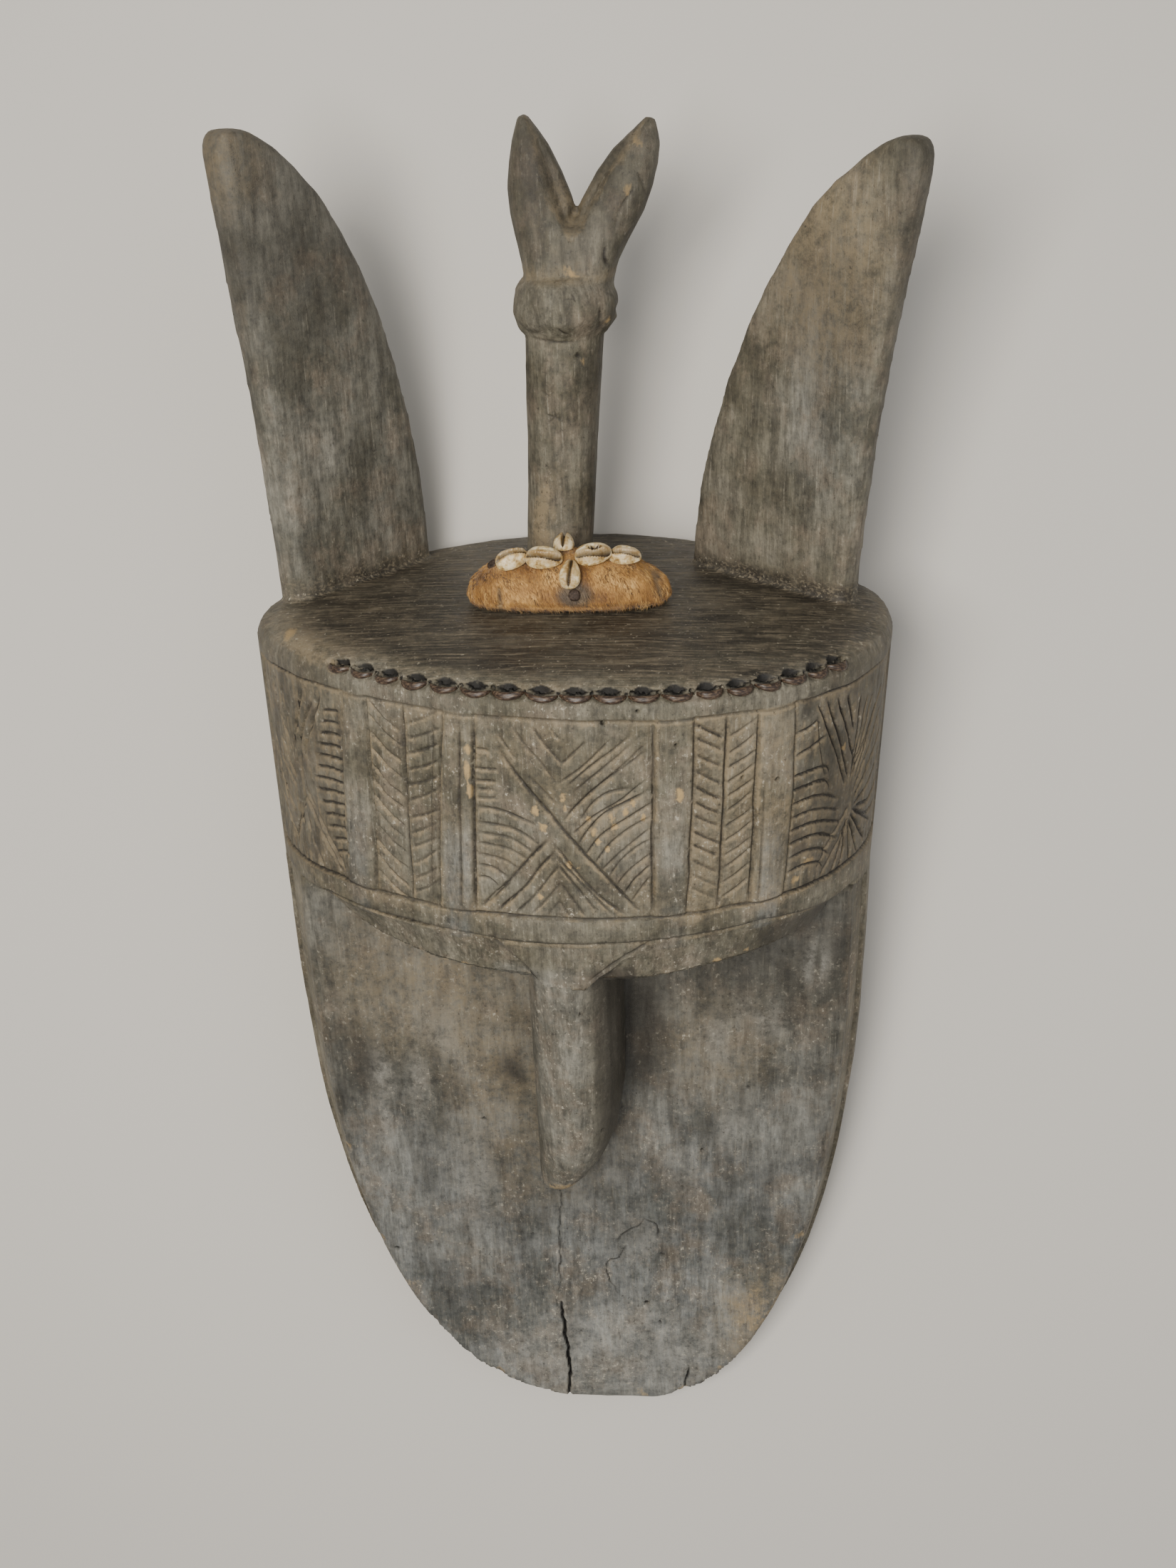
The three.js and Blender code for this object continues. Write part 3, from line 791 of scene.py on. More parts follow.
def carve_body():
    """The whole carving in one mesh: hollowed log, crown, band, lip, nose, face and horns."""
    piece = copy_of_node("mask_body", "mask_carving")
    apply_modifier(piece, "REMESH", mode="VOXEL", voxel_size=BODY_VOXEL * MM)
    mesh = piece.data
    p = upright(points_of(mesh))
    edges = edges_of(mesh)
    part = regions(p)
    p = smoothed(p, edges, np.full(len(p), 0.6), 3)
    p = smoothed(p, edges, np.maximum(part.horn, part.nose * 0.9), 26)
    p = smoothed(p, edges, part.above, 7)
    p = smoothed(p, edges, part.horn * ramp(p[:, 1], HORN_TIPS, HORN_TIPS + 8), 16, push=0)
    _, ratio = log_place(p)
    on_wall = (ratio > 0.985) & (ratio < 1.004) & (p[:, 1] < -10) & (p[:, 1] > CHIN + 20)
    on_wall &= (p[:, 2] > -60) & ~((p[:, 1] < RAIL_BOTTOM + 3) & (p[:, 2] > FACE_FRONT - 1))
    p[on_wall] = onto_log(p[on_wall], ratio[on_wall])
    place_points(mesh, laid(p))

    x, y, z = p.T
    fine = (ratio > 0.93) & (y < 1) & (y > LIP_LOWEST) & (z > FACE_FRONT + 2)
    fine |= (ratio > 0.97) & (y < 1) & (y > -156) & (z > 0)
    fine |= (z > FACE_FRONT - 4) & (hole_depth(x, y, FACE_HOLES, 9) > 0)
    for path, width, _ in FACE_CRACKS:
        fine |= (z > 20) & (groove_depth(x, y, [(path, width + 6, 1)]) > 0)
    wide_cuts = [(path, 5, 1) for path, _, _ in POST_CUTS]
    fine |= (y > POST_FOOT) & (np.abs(x) < POST_SIDE) & (groove_depth(x, y, wide_cuts) > 0)
    subdivide_where(piece, fine)

    p = upright(points_of(mesh))
    part = regions(p)
    out = normals_of(mesh)
    x, y, z = p.T
    ground, cuts, _ = band_relief(part.a, y)
    sink = (ground + cuts) * part.wall * part.front * (1 - part.lip)
    sink += part.wall * hole_depth(part.a, y, BAND_HOLES) * part.front
    sink += np.maximum(part.lip, part.wall * (z > 30)) * lip_depth(part.a, y) * (y < RAIL_BOTTOM + 9)
    sink += part.rim * stitch_seats(part.a, y)
    sink += part.face * face_crack_depth(x, y)
    sink += np.maximum(part.face, part.nose) * hole_depth(x, y, FACE_HOLES)
    sink += tool_marks(p, part)
    sink += nicks(p, part)
    facing = ramp(leaned(out, -LEAN)[:, 2], 0.35, 0.7)
    bevel, scores = post_cuts(p)
    ridge = groove_depth(x, y, [(POST_RIDGE, 2.6, 0.7)], 0.1)
    sink += facing * (bevel + scores + (y > POST_FOOT) * (ridge + hole_depth(x, y, POST_HOLES)))
    moved = points_of(mesh) - out * (sink * MM)[:, None]
    moved[:, 2] = np.maximum(moved[:, 2], 0)
    place_points(mesh, moved)

    carved = (part.ratio > 0.92) & (y < 2) & (y > LIP_LOWEST) & (z > 0)
    carved &= (y > RAIL_BOTTOM - 4) | (z > FACE_FRONT + 2)
    for path, width, _ in FACE_CRACKS:
        carved |= (z > 40) & (groove_depth(x, y, [(path, width + 3, 1)]) > 0)
    carved |= (z > 46) & (hole_depth(x, y, FACE_HOLES, 1) > 0)
    carved |= (y > POST_FOOT) & (scores > 0)
    plain = piece.vertex_groups.new(name="plain")
    plain.add(np.flatnonzero(~carved).tolist(), 1, "REPLACE")
    sides = np.empty(len(mesh.polygons), np.int32)
    mesh.polygons.foreach_get("loop_total", sides)
    carved_triangles = int((sides[all_in(mesh, carved)] - 2).sum())
    thin_out(piece, carved_triangles + PLAIN_TRIANGLES, "plain")
    thin_out(piece, BODY_TRIANGLES)
    piece.vertex_groups.clear()
    finish_body(piece)


def tool_marks(p, part):
    """The shallow facets that the adze and the knife left, and the wood's worn grain."""
    x, y, _ = p.T
    facets = np.abs(noise(p, (24, 46, 24), 41)) * 1.1
    small = np.abs(noise(p, (9, 15, 9), 42)) * 0.5
    grain = noise(p, (2.6, 60, 2.6), 43) * 0.10
    outside = 1 - part.inner
    calm = 1 - 0.85 * part.wall * (y > RAIL_BOTTOM) * part.front
    adze = part.inner * (np.abs(noise(p, (18, 22, 18), 44)) * 2.2 - 0.6)
    horns = part.above * (0.5 * noise(p, (30, 55, 30), 45) + 0.25 * noise(p, (10, 18, 10), 46))
    face = part.face * (0.35 * noise(p, (30, 70, 30), 47))
    collar = (np.abs(x) < 42) * ramp(y, 146, 150) * (1 - ramp(y, 178, 182))
    collar *= 1.3 * noise(p, (11, 7, 11), 48) + 0.6 * noise(p, (4, 4, 4), 49)
    lip = part.lip * (0.5 * noise(p, (16, 9, 16), 50) + 0.25 * noise(p, (40, 3, 40), 53))
    worked = outside * calm * (0.5 * facets + 0.5 * small + grain - 0.35)
    return worked + adze + horns + face + collar + lip


# The post and its fork lie within this far of the middle, and above this height.
POST_SIDE = 62
POST_FOOT = 20

# Where the front of the fork's lobes turns back to the gap, as (x, y) up each lobe
LEFT_BEVEL = ((6, 196), (-8, 219), (-14, 249), (-25, 276))
RIGHT_BEVEL = ((6, 196), (27, 231), (45, 255), (58, 272))
BEVEL_SLOPE = 0.42
BEVEL_MOST = 4.0

# Short cracks, scores and the ridge on the front of the collar and the post: path, width, depth
POST_CUTS = (
    ([(1.4, 174.4), (0.8, 167.8)], 1.5, 0.9),
    ([(5.5, 172.5), (7.9, 167.8)], 1.5, 0.9),
    ([(-1, 170.5), (7, 169.5)], 1.4, 0.8),
    ([(-2.6, 154.5), (0, 152), (3.1, 150.7)], 1.6, 1.1),
    ([(-23.7, 153.5), (-18, 151), (-12.3, 151.6)], 1.6, 1.0),
    ([(-17, 147.8), (-5, 146.2), (7, 146)], 1.8, 1.0),
    ([(20, 163), (20.5, 158), (18.8, 153.5)], 1.7, 1.1),
    ([(22, 172), (27, 168), (29, 163)], 1.5, 0.9),
    ([(-12, 106), (-3, 103)], 1.3, 0.8),
    ([(-11, 101), (-4, 107)], 1.3, 0.8),
    ([(-7, 108), (-6, 100)], 1.3, 0.8),
    ([(-14, 119), (-9, 116)], 1.3, 0.7),
    ([(24, 196), (23, 190), (25, 184)], 4.0, 1.3),
    ([(29, 203), (32, 214), (41, 226)], 1.8, 0.9),
    ([(38, 236), (44, 228), (46, 217)], 2.0, 0.8),
    ([(-28, 205), (-24, 193)], 2.0, 0.6),
)
POST_RIDGE = [(8, 137), (8.2, 110), (7.6, 80), (7.0, 40)]
POST_HOLES = ((7, 138, 1.4), (5, 188, 0.9), (-13, 76, 0.9))


def post_cuts(p):
    """How deep the scores are on the post's front, and how far the fork is bevelled there."""
    x, y, _ = p.T
    middle = (np.abs(x) < POST_SIDE) & (y > POST_FOOT)
    left, right = (np.interp(y, *np.transpose(line)[::-1]) for line in (LEFT_BEVEL, RIGHT_BEVEL))
    inward = np.minimum(x - left, right - x) * (y > LEFT_BEVEL[0][1]) * (y < RIGHT_BEVEL[-1][1])
    bevel = np.clip(BEVEL_SLOPE * inward, 0, BEVEL_MOST)
    return middle * bevel, middle * np.clip(groove_depth(x, y, POST_CUTS, 0.2), 0, 9)


def nicks(p, part):
    """The chipped places along the rim of the face."""
    sink = np.zeros(len(p))
    x, y, z = p.T
    rim = (y < FACE_TOP) & (part.ratio > 0.9) & (z > 15)
    for u, v, radius, deep in CHIN_NICKS:
        away = np.hypot(x - u, y - v)
        sink = np.maximum(sink, rim * deep * (1 - ramp(away, 0.2 * radius, radius)))
    wear = 0.5 * np.abs(noise(p, (16, 16, 20), 51)) + 0.15 * np.abs(noise(p, (6, 6, 9), 52))
    return sink + rim * ramp(-y, 480, 540) * wear


# Bare tan chips: on the band at (a, y) with their half sizes, on the lip at (x, y), and on the
# post and the fork at (x, y) with their radii
CHIPS = (
    (5, -62, 2.0, 3.6), (6, -68, 1.8, 3.4), (-10, -70, 2.6, 3.0), (-6, -80, 3.0, 3.4),
    (19, -74, 1.8, 3.2), (22, -82, 2.4, 3.6), (24, -88, 1.8, 2.8), (31, -73, 2.8, 3.4),
    (33, -79, 2.6, 3.0), (39, -70, 2.0, 3.6), (43, -65, 1.8, 3.0), (49, -74, 1.8, 3.2),
    (29, -92, 2.0, 2.6), (8, -102, 2.0, 3.4), (13, -102, 1.8, 3.0), (-9, -122, 1.8, 2.6),
    (68, -61, 3.0, 6.0), (188, -56, 1.8, 3.0), (160, -119, 6.0, 2.2), (149, -128, 4.5, 2.6),
    (-46, -38, 2.0, 4.5), (-47, -50, 2.2, 7.0), (-46, -62, 2.0, 5.0),
)
LIP_CHIPS = ((-57, -175), (-4, -184), (-14, -184), (29, -179), (49, -179), (85, -172), (102, -169))
POST_CHIPS = (
    (24, 155.8, 2.6), (5.5, 182, 3.0), (42, 247, 4.0), (18, 215, 2.4), (36, 222, 2.2),
    (9, 135, 2.4),
)

# Pale scuffed places on the face at (x, y), with their half sizes and how strong they are
SCUFFS = (
    (-128, -300, 13, 26, 1.0), (-122, -338, 20, 12, 0.9), (-104, -305, 12, 40, 0.6),
    (-72, -380, 22, 60, 0.35), (144, -210, 12, 22, 1.0), (122, -250, 26, 10, 0.6),
    (108, -236, 30, 7, 0.5), (92, -332, 9, 14, 0.9), (100, -322, 5, 12, 0.8),
    (87, -265, 14, 22, 0.5), (60, -370, 18, 24, 0.4), (34, -498, 40, 34, 0.45),
    (-46, -530, 30, 22, 0.4), (70, -520, 30, 24, 0.5), (-88, -260, 24, 30, 0.3),
    (30, -420, 24, 30, 0.3),
)

# Soft round patches of each finish: the region, the middle, the half sizes and how strong. A
# ragged one gives its least strength and what its rags add.
DUST_PATCHES = (
    ("face", (-112, -225, 52), (60, 80, 40), 0.5),
    ("face", (-60, -240, 52), (50, 110, 40), 0.4),
    ("face", (-30, -330, 52), (80, 90, 60), 0.35),
    ("face", (84, -270, 52), (50, 60, 60), 0.35),
    ("above", (-178, 246, -20), (30, 40, 60), 0.8),
    ("above", (130, 190, 10), (60, 90, 60), 0.8),
    ("above", (95, 60, 60), (50, 60, 60), 0.7),
    ("top", (-130, 10, 40), (70, 22, 70), 0.8),
    ("top", (120, 10, 20), (70, 22, 70), 0.4),
)
WORN_PATCHES = (
    ("nose", (-6, -354, 88), (24, 12, 20), 0.65),
    ("face", (110, -485, 52), (20, 44, 10), 0.4),
    ("face", (-122, -470, 52), (10, 24, 10), 0.4),
    ("front", (-155, -2, 45), (6, 8, 13), 1.0),
    ("above", (172, 234, -6), (14, 10, 14), 0.8),
)
SOOT_PATCHES = (
    ("face", (-34, -260, 52), (14, 60, 12), 0.35),
    ("horn", (135, 165, 5), (50, 60, 50), 0.35),
    ("horn", (196, 250, -8), (26, 22, 40), 0.45),
    ("horn", (172, 100, -6), (16, 120, 30), 0.3),
)
RAGGED_SOOT_PATCHES = (
    ("face", (-42, -288, 52), (20, 28, 12), 0.25, 0.6),
    # Soot and the painted shadow of the nose, on the face to its right.
    ("face", (38, -245, 52), (34, 88, 12), 0.6, 0.4),
    ("face", (-148, -285, 52), (34, 52, 12), 0.2, 0.6),
)

# The mouldings whose faces are rubbed pale, by the line on their left, and how much
SMOOTH_MOULDINGS = (
    ("left_panel", 0.6), ("left_leaves", 0.7), ("middle_panel", 0.25), ("right_leaves", 0.6),
)


def patches(p, part, table):
    """A layer for each soft round patch of a table."""
    return [
        strong * getattr(part, region) * blob(p, middle, half)
        for region, middle, half, strong in table
    ]


def close_to(values, middle, full, gone):
    """1 within full of the middle and 0 beyond gone, smoothly in between."""
    return 1 - ramp(np.abs(values - middle), full, gone)


def spots(u, v, places):
    """The strongest of some round spots, given by their middle and radius."""
    return np.maximum.reduce([
        1 - ramp(np.hypot(u - a, v - b), 0.3 * radius, radius) for a, b, radius in places
    ])


def wear_regions(p):
    """The parts of the carving, with the cuts, edges and panels that its wear follows."""
    part = regions(p)
    x, y, z = p.T
    a = part.a
    _, cuts, inside = band_relief(a, y)
    _, cuts_above, _ = band_relief(a, y + 1.3)
    part.flat = np.stack([a, y], 1)
    part.cuts = cuts
    part.side = part.wall * part.front
    part.field = part.side * inside
    # The lower lip of each cut, which faces up to the light; it is painted pale as a highlight.
    part.lit_lip = part.side * np.clip(cuts_above - cuts, 0, 1)
    part.right_leaves = part.field * ramp(a, 68, 78) * (1 - ramp(a, 136, 144))
    part.end_panels = part.field * ramp(np.abs(a - 6), 134, 142)
    part.lip_line = np.interp(a, *np.transpose(RAIL_EDGE))
    part.post = (np.abs(x) < POST_SIDE) * part.above
    part.bevel, part.scores = post_cuts(p)
    along = np.stack([np.hypot(x, 1.4 * (z + 30)), a], 1)
    part.rings = 0.6 * noise(along, (3.2, 46), 74) + 0.5 * noise(along, (9, 60), 75)
    part.cloudy = 0.5 + 0.5 * noise(p, (14, 20, 14), 68)
    part.ragged = np.clip(0.5 + 0.8 * noise(p, (7, 18, 7), 86), 0, 1)
    return part


def painted_hole_shade(p, part):
    """Near-black painted shade in the wormholes, the open cracks and the holes behind the stitches."""
    x, y, z = p.T
    return np.maximum.reduce([
        part.side * hole_depth(part.a, y, BAND_HOLES, 1),
        np.maximum(part.face, part.nose) * hole_depth(x, y, FACE_HOLES, 1),
        part.face * np.clip(face_crack_depth(x, y) / 1.3, 0, 1),
        # The slots behind the stitches: painted shadow of the thong.
        0.95 * part.rim * np.clip(stitch_seats(part.a, y) / 1.2 - 0.2, 0, 1),
        part.above * (z > -40) * hole_depth(x, y, POST_HOLES, 1),
        # The crack between the rail and the lip on the left: painted shade.
        0.85 * part.lip * ramp(groove_depth(part.a, y, LIP_CUTS[:1]), 0.5, 2),
    ])


def dust_and_highlights(p, part):
    """Ochre dust in corners and patches, and painted highlight and dust on the cuts' lit lips."""
    x, y, z = p.T
    a, flat, field, post = part.a, part.flat, part.field, part.post
    patchy = np.clip(0.5 + 0.8 * noise(flat, 9, 63) + 0.4 * noise(flat, 3, 64), 0, 1)
    rim_line = -3 - 3 * ramp(a, -190, -135) - 1.5 * noise(flat, 8, 81)
    frayed = close_to(y, rim_line, 0.5, 3) * ramp(a, -200, -185) * (1 - ramp(a, -135, -125))
    pad_front = close_to(z, 41 + 3 * noise(p, (16, 8, 16), 78), 2, 10) * (1 - ramp(np.abs(x), 45, 85))
    layers = [
        # The cuts' lit lower lips, painted pale: dust and painted highlight; and a little dust in the
        # cuts.
        field * patchy * (1.5 * part.lit_lip + 0.3 * np.clip(part.cuts, 0, 1)),
        field * 0.35 * np.clip(noise(flat, (26, 20), 61), 0, 1),
        # This layer and the next also paint the cuts' lit lips pale: dust and painted highlight.
        part.right_leaves * (0.4 + 0.6 * part.lit_lip),
        part.end_panels * (1.8 * part.lit_lip + 0.7 * ramp(noise(flat, (1.8, 12), 90), 0.15, 0.5)),
        1.3 * frayed * (z > 0) * (y > -12),
        0.15 * part.side * ramp(np.abs(a - 20), 120, 200),
        part.side * close_to(y, FIELD_TOP - 1.0, 0.3, 1.8) * (0.3 + 0.7 * noise(flat, 18, 62)),
        part.side * close_to(y, FIELD_BOTTOM - 1.2, 0.3, 2.0) * (0.4 + 0.6 * noise(flat, 15, 65)),
        part.lip * 1.2 * close_to(y, part.lip_line - 2.4, 0.3, 1.7) * (0.5 + 0.7 * noise(flat, 12, 66)),
        part.lip * 0.8 * ramp(-y, 168, 176) * np.clip(noise(p, 7, 67), 0, 1),
        part.face * 0.7 * blob(p, (113, -489, 52), (44, 60, 60)) * (0.4 + patchy),
        (np.abs(x) < 40) * part.above * 0.6 * close_to(y, 180, 1, 5),
        post * 0.3 * (1 - ramp(y, 20, 90)) * patchy,
        post * 1.3 * blob(p, (-16, 46, -18), (11, 34, 40)) * patchy,
        post * 0.8 * np.clip(part.bevel / 2, 0, 1) * (1 - ramp(y, 210, 240)),
        post * 0.7 * close_to(part.bevel, 0.3, 0.2, 0.9) * (part.bevel > 0),
        part.top * 0.35 * np.clip(part.rings, 0, 1),
        part.top * pad_front * (0.5 + 0.6 * noise(p, (9, 8, 4), 80)),
    ]
    layers += [field * 0.8 * close_to(a, line_at(name, y) + 1.4, 0.3, 1.5) * patchy for name in LINES]
    return np.clip(sum(layers + patches(p, part, DUST_PATCHES)), 0, 1.5)


def worn_bare(p, part):
    """Tan bare wood, where the carving is chipped or rubbed through."""
    x, y, z = p.T
    chips = [
        part.side * (1 - ramp(np.hypot((part.a - u) / wide, (y - v) / tall), 0.5, 1.1))
        for u, v, wide, tall in CHIPS
    ]
    chips += [part.lip * blob(p, (u, v, 118), (4, 4, 30)) for u, v in LIP_CHIPS]
    chips.append(0.6 * (z > 30) * spots(x, y, [nick[:3] for nick in CHIN_NICKS]))
    chips.append(part.post * (z > -40) * spots(x, y, POST_CHIPS))
    return np.maximum.reduce(chips + patches(p, part, WORN_PATCHES))


def soot_and_shade_layers(p, part):
    """Black smoke on the crown's top, on the horns and the fork and on the face, and painted shade
    in the cuts, scores and creases, on the band's sides, under the brow lip and by the nose.
    """
    x, y, z = p.T
    a, flat, field, face, post = part.a, part.flat, part.field, part.face, part.post
    rim_start = 0.83 + 0.09 * ramp(a, 30, 130) + 0.02 * noise(flat, 22, 79)
    on_rim = ramp(part.ratio, rim_start, rim_start + 0.08) * ramp(z, -40, 0)
    dark_top = np.clip(0.8 + 0.24 * noise(p, (26, 26, 14), 69) - 0.2 * part.rings, 0, 0.97)
    layers = [
        # Soot and the painted shadow of the nose, on the face to its right.
        face * (0.25 + 0.3 * part.cloudy + 0.25 * part.ragged) * ramp(y, -350, -180) * ramp(x, 30, 90),
        # Soot and painted shade on the face under the brow lip.
        face * 0.3 * ramp(y, -215, -172) * ramp(x, -120, 20),
        face * (0.1 + 0.3 * part.ragged) * (1 - ramp(-y, 380, 470)),
        face * 0.5 * part.cloudy * ramp(x, 118, 150) * ramp(y, -440, -380),
        face * 0.3 * blob(p, (-80, -440, 52), (60, 90, 40)) * (0.5 + part.cloudy),
        part.top * dark_top * (1 - 0.85 * on_rim),
        post * (0.38 + 0.25 * np.clip(noise(p, (9, 26, 9), 76), 0, 1)) * ramp(y, 150, 220),
        post * 0.3 * ramp(x, 6.5, 9) * (1 - ramp(y, 134, 142)),
        # Painted shade in the scores on the post.
        post * 0.9 * np.clip(part.scores, 0, 1),
        part.horn * 0.42 * (x < 0) * ramp(y, 90, 200),
        part.above * 0.4 * ramp(x, 160, 185),
        part.nose * 0.7 * ramp(x, 6, 20),
        # Soot and painted shade on the lip's right end.
        part.lip * 0.7 * ramp(x, 95, 125) * ramp(-y, 152, 158),
        # Painted shade in the creases beside the boss.
        part.lip * 0.8 * np.clip(groove_depth(a, y, LIP_CUTS[1:3]) / 1.5, 0, 1),
        # Painted shade in the crease between the rail and the lip.
        part.side * 0.75 * close_to(y, part.lip_line + 0.1, 0.3, 1.3) * (np.abs(a) < 230),
        # Soot and painted shade, darker towards the band's sides.
        part.side * 0.36 * ramp(np.abs(a - 10), 120, 180) * (0.6 + 0.6 * part.cloudy) * (y > -140),
        field * 0.5 * ramp(a, 150, 170) * (1 - ramp(a, 190, 215)) * ramp(-y, 30, 45),
        # Painted shade in the band's cuts, less on their lit lower lips.
        field * 0.9 * np.clip(part.cuts / 1.3 - part.lit_lip, 0, 1),
        # Painted shade in the end panels' cuts, less on their lit lower lips.
        part.end_panels * np.clip(part.cuts / 0.7 - 0.5 * part.lit_lip, 0, 1),
        part.end_panels * 0.6 * np.clip(noise(flat, (5, 12), 88) + 0.35, 0, 1),
    ]
    layers += [
        getattr(part, region) * (least + more * part.ragged) * blob(p, middle, half)
        for region, middle, half, least, more in RAGGED_SOOT_PATCHES
    ]
    return np.maximum.reduce(layers + patches(p, part, SOOT_PATCHES))


def bleached(p, part):
    """Where the wood is bleached blue-grey: low on the face, on the mouldings and the horns."""
    x, y, _ = p.T
    layers = [
        part.face * (0.45 + 0.55 * ramp(-y, 230, 400)) + 0.35 * part.nose * (1 - ramp(x, 4, 18)),
        part.horn * 0.45 * blob(p, (135, 110, 10), (44, 90, 50)),
        part.horn * 0.3 * (x < 0),
    ]
    layers += [
        part.side * strong * close_to(part.a, line_at(name, y) + 12, 5, 10) * ramp(-y, 60, 110)
        for name, strong in SMOOTH_MOULDINGS
    ]
    return np.maximum.reduce(layers)


def scuffed(p, part):
    """Pale scuffs on the face."""
    x, y, _ = p.T
    layers = [part.face * 0.3 * blob(p, (10, -530, 52), (120, 70, 60))]
    layers += [
        part.face * strong * (0.4 + 0.8 * part.cloudy)
        * (1 - ramp(np.hypot((x - u) / wide, (y - v) / tall), 0.2, 1))
        for u, v, wide, tall, strong in SCUFFS
    ]
    return np.maximum.reduce(layers)


def finish_body(piece):
    """Shading, and the attributes that say where the wood is dusty, worn, sooty or pitted, and
    where highlights and shade are painted on it.
    """
    mesh = piece.data
    activate(piece)
    bpy.ops.object.shade_smooth()
    p = upright(points_of(mesh))
    part = wear_regions(p)
    for name, values in (
        ("dust_and_lit_lips", dust_and_highlights(p, part)),
        ("worn", worn_bare(p, part)),
        ("soot_and_shade", soot_and_shade_layers(p, part)),
        ("pale", bleached(p, part)),
        ("hole_shade", painted_hole_shade(p, part)),
        ("inside", part.inner),
        ("top", part.top),
        ("calm", part.above),
        ("scuff", scuffed(p, part)),
    ):
        write_attribute(mesh, name, values)
    mesh.materials.append(patina_wood())
    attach(piece, "root")
    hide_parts("mask_body")


# The hide pad in front of the post, and the shells and nails on it

# The pad's loaf in mm, and the share of its height that is its upright foot
PAD_MIDDLE = np.array([-0.2, 6.2, 8.5])
PAD_HALF = np.array([58.0, 28.0, 25.0])
PAD_FOOT = 0.12

# Its mesh's voxels in mm, the pressure that puffs it up, for how many steps, and how far in mm a
# point may go
PAD_VOXEL = 1.7
PAD_PRESSURE = 4.0
PAD_STEPS = 20
PAD_MOST = 1.7

# The pad's creases on its left, on its right and along its bottom: paths, widths and depths
PAD_CREASES = (
    [([(-36, 34), (-46, 28), (-51, 20)], 6, 1.7), ([(-38, 20), (-37, 4)], 5, 2.4)],
    [([(36, 34), (47, 25), (52, 14), (54, 8)], 7, 2.0)],
    [([(-58, 9.5), (-37, 8.5)], 4, 0.7), ([(-35, 9), (46, 8.6)], 4, 0.9)],
)

FRONT_NAIL = np.array([5.2, 16.5, 33.8])
LEFT_NAIL = np.array([-42.5, 28.0, 12.5])


def pad_top(x, z):
    """The height of the pad's crown over (x, z)."""
    dx, dz = abs(x - PAD_MIDDLE[0]) / PAD_HALF[0], abs(z - PAD_MIDDLE[2]) / PAD_HALF[2]
    far = math.hypot(dx, dz)
    share = far * ((dx / far) ** 3 + (dz / far) ** 2.4) ** 0.37
    dome = (1 - PAD_FOOT) * max(0, 1 - share ** 2) ** 0.45
    return PAD_MIDDLE[1] + PAD_HALF[1] * (PAD_FOOT + dome)


def puff_up(piece):
    """Blows the hide up a little over its stuffing, and holds each point near its place."""
    start = points_of(piece.data)
    activate(piece)
    cloth = piece.modifiers.new("cloth", "CLOTH")
    cloth.settings.use_pressure = True
    cloth.settings.uniform_pressure_force = PAD_PRESSURE
    cloth.settings.effector_weights.gravity = 0
    cloth.collision_settings.use_collision = False
    scene = bpy.context.scene
    for number in range(1, PAD_STEPS + 1):
        scene.frame_set(number)
    bpy.ops.object.modifier_apply(modifier=cloth.name)
    scene.frame_set(1)
    moved = points_of(piece.data) - start
    far = np.linalg.norm(moved, axis=1)
    moved *= np.minimum(1, PAD_MOST * MM / np.maximum(far, 1e-9))[:, None]
    lift = ramp(upright(start)[:, 1], PAD_MIDDLE[1] + 0.5, PAD_MIDDLE[1] + 9)
    place_points(piece.data, start + moved * lift[:, None])


def pad_folds(p):
    """The creases that set off the pad's end lobes and its bottom, and its lumps, as depth."""
    x, y, z = p.T
    creases = sum(groove_depth(x, y, side, 0.05) for side in PAD_CREASES)
    lumps = 0.8 * noise(p, (17, 12, 14), 71) + 0.35 * noise(p, (6, 5, 6), 72)
    return creases * ramp(z, 2, 12) + lumps


def make_pad():
    """A hide cover, hair side out, over a soft filling."""
    pad = copy_of_node("hide_pad", "hide_cushion")
    apply_modifier(pad, "REMESH", mode="VOXEL", voxel_size=PAD_VOXEL * MM)
    mesh = pad.data
    p = smoothed(upright(points_of(mesh)), edges_of(mesh), np.ones(len(mesh.vertices)), 14)
    place_points(mesh, laid(p))
    puff_up(pad)
    apply_modifier(pad, "SUBSURF", levels=1, render_levels=1)
    p = upright(points_of(mesh))
    keep = ramp(p[:, 1], PAD_MIDDLE[1] + 0.2, PAD_MIDDLE[1] + 3)
    place_points(mesh, points_of(mesh) - normals_of(mesh) * (pad_folds(p) * keep * MM)[:, None])
    activate(pad)
    bpy.ops.object.shade_smooth()
    p = upright(points_of(mesh))
    # The pad's iron stain, and painted shade along its bottom and in its folds.
    write_attribute(mesh, "stain_and_shade", pad_stain_and_shade(p))
    write_attribute(mesh, "shade", 0.5 + 0.5 * noise(p, (9, 7, 9), 73))
    mesh.materials.append(hair_hide("short-haired hide"))
    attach(pad, "root")
    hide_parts("hide_pad")
    return pad


def pad_stain_and_shade(p):
    """The grey iron stain round the front nail, and painted shade along the bottom and the folds."""
    ring = 1 - ramp(np.linalg.norm((p - FRONT_NAIL) / (1.35, 1, 2), axis=1), 4.5, 10)
    # Painted shade along the bottom, where the pad meets the crown.
    edge = 0.55 * (1 - ramp(p[:, 1], PAD_MIDDLE[1] + 0.5, PAD_MIDDLE[1] + 4))
    # Painted shade in the folds.
    folds = 0.75 * np.clip(pad_folds(p) - 0.6, 0, 1)
    return np.clip(np.maximum(np.maximum(ring, edge), folds), 0, 1)


# The hairs' number, their shortest and longest, their width, how deep they are rooted, in mm,
# and the way they are combed. A real hair is under 0.1 mm wide, which is too fine to show.
HAIRS = 30000
HAIR_LENGTH = (2.0, 4.2)
HAIR_WIDTH = 0.24
HAIR_ROOT = 0.25
COMBED = np.array([0.40, -0.80, 0.35])


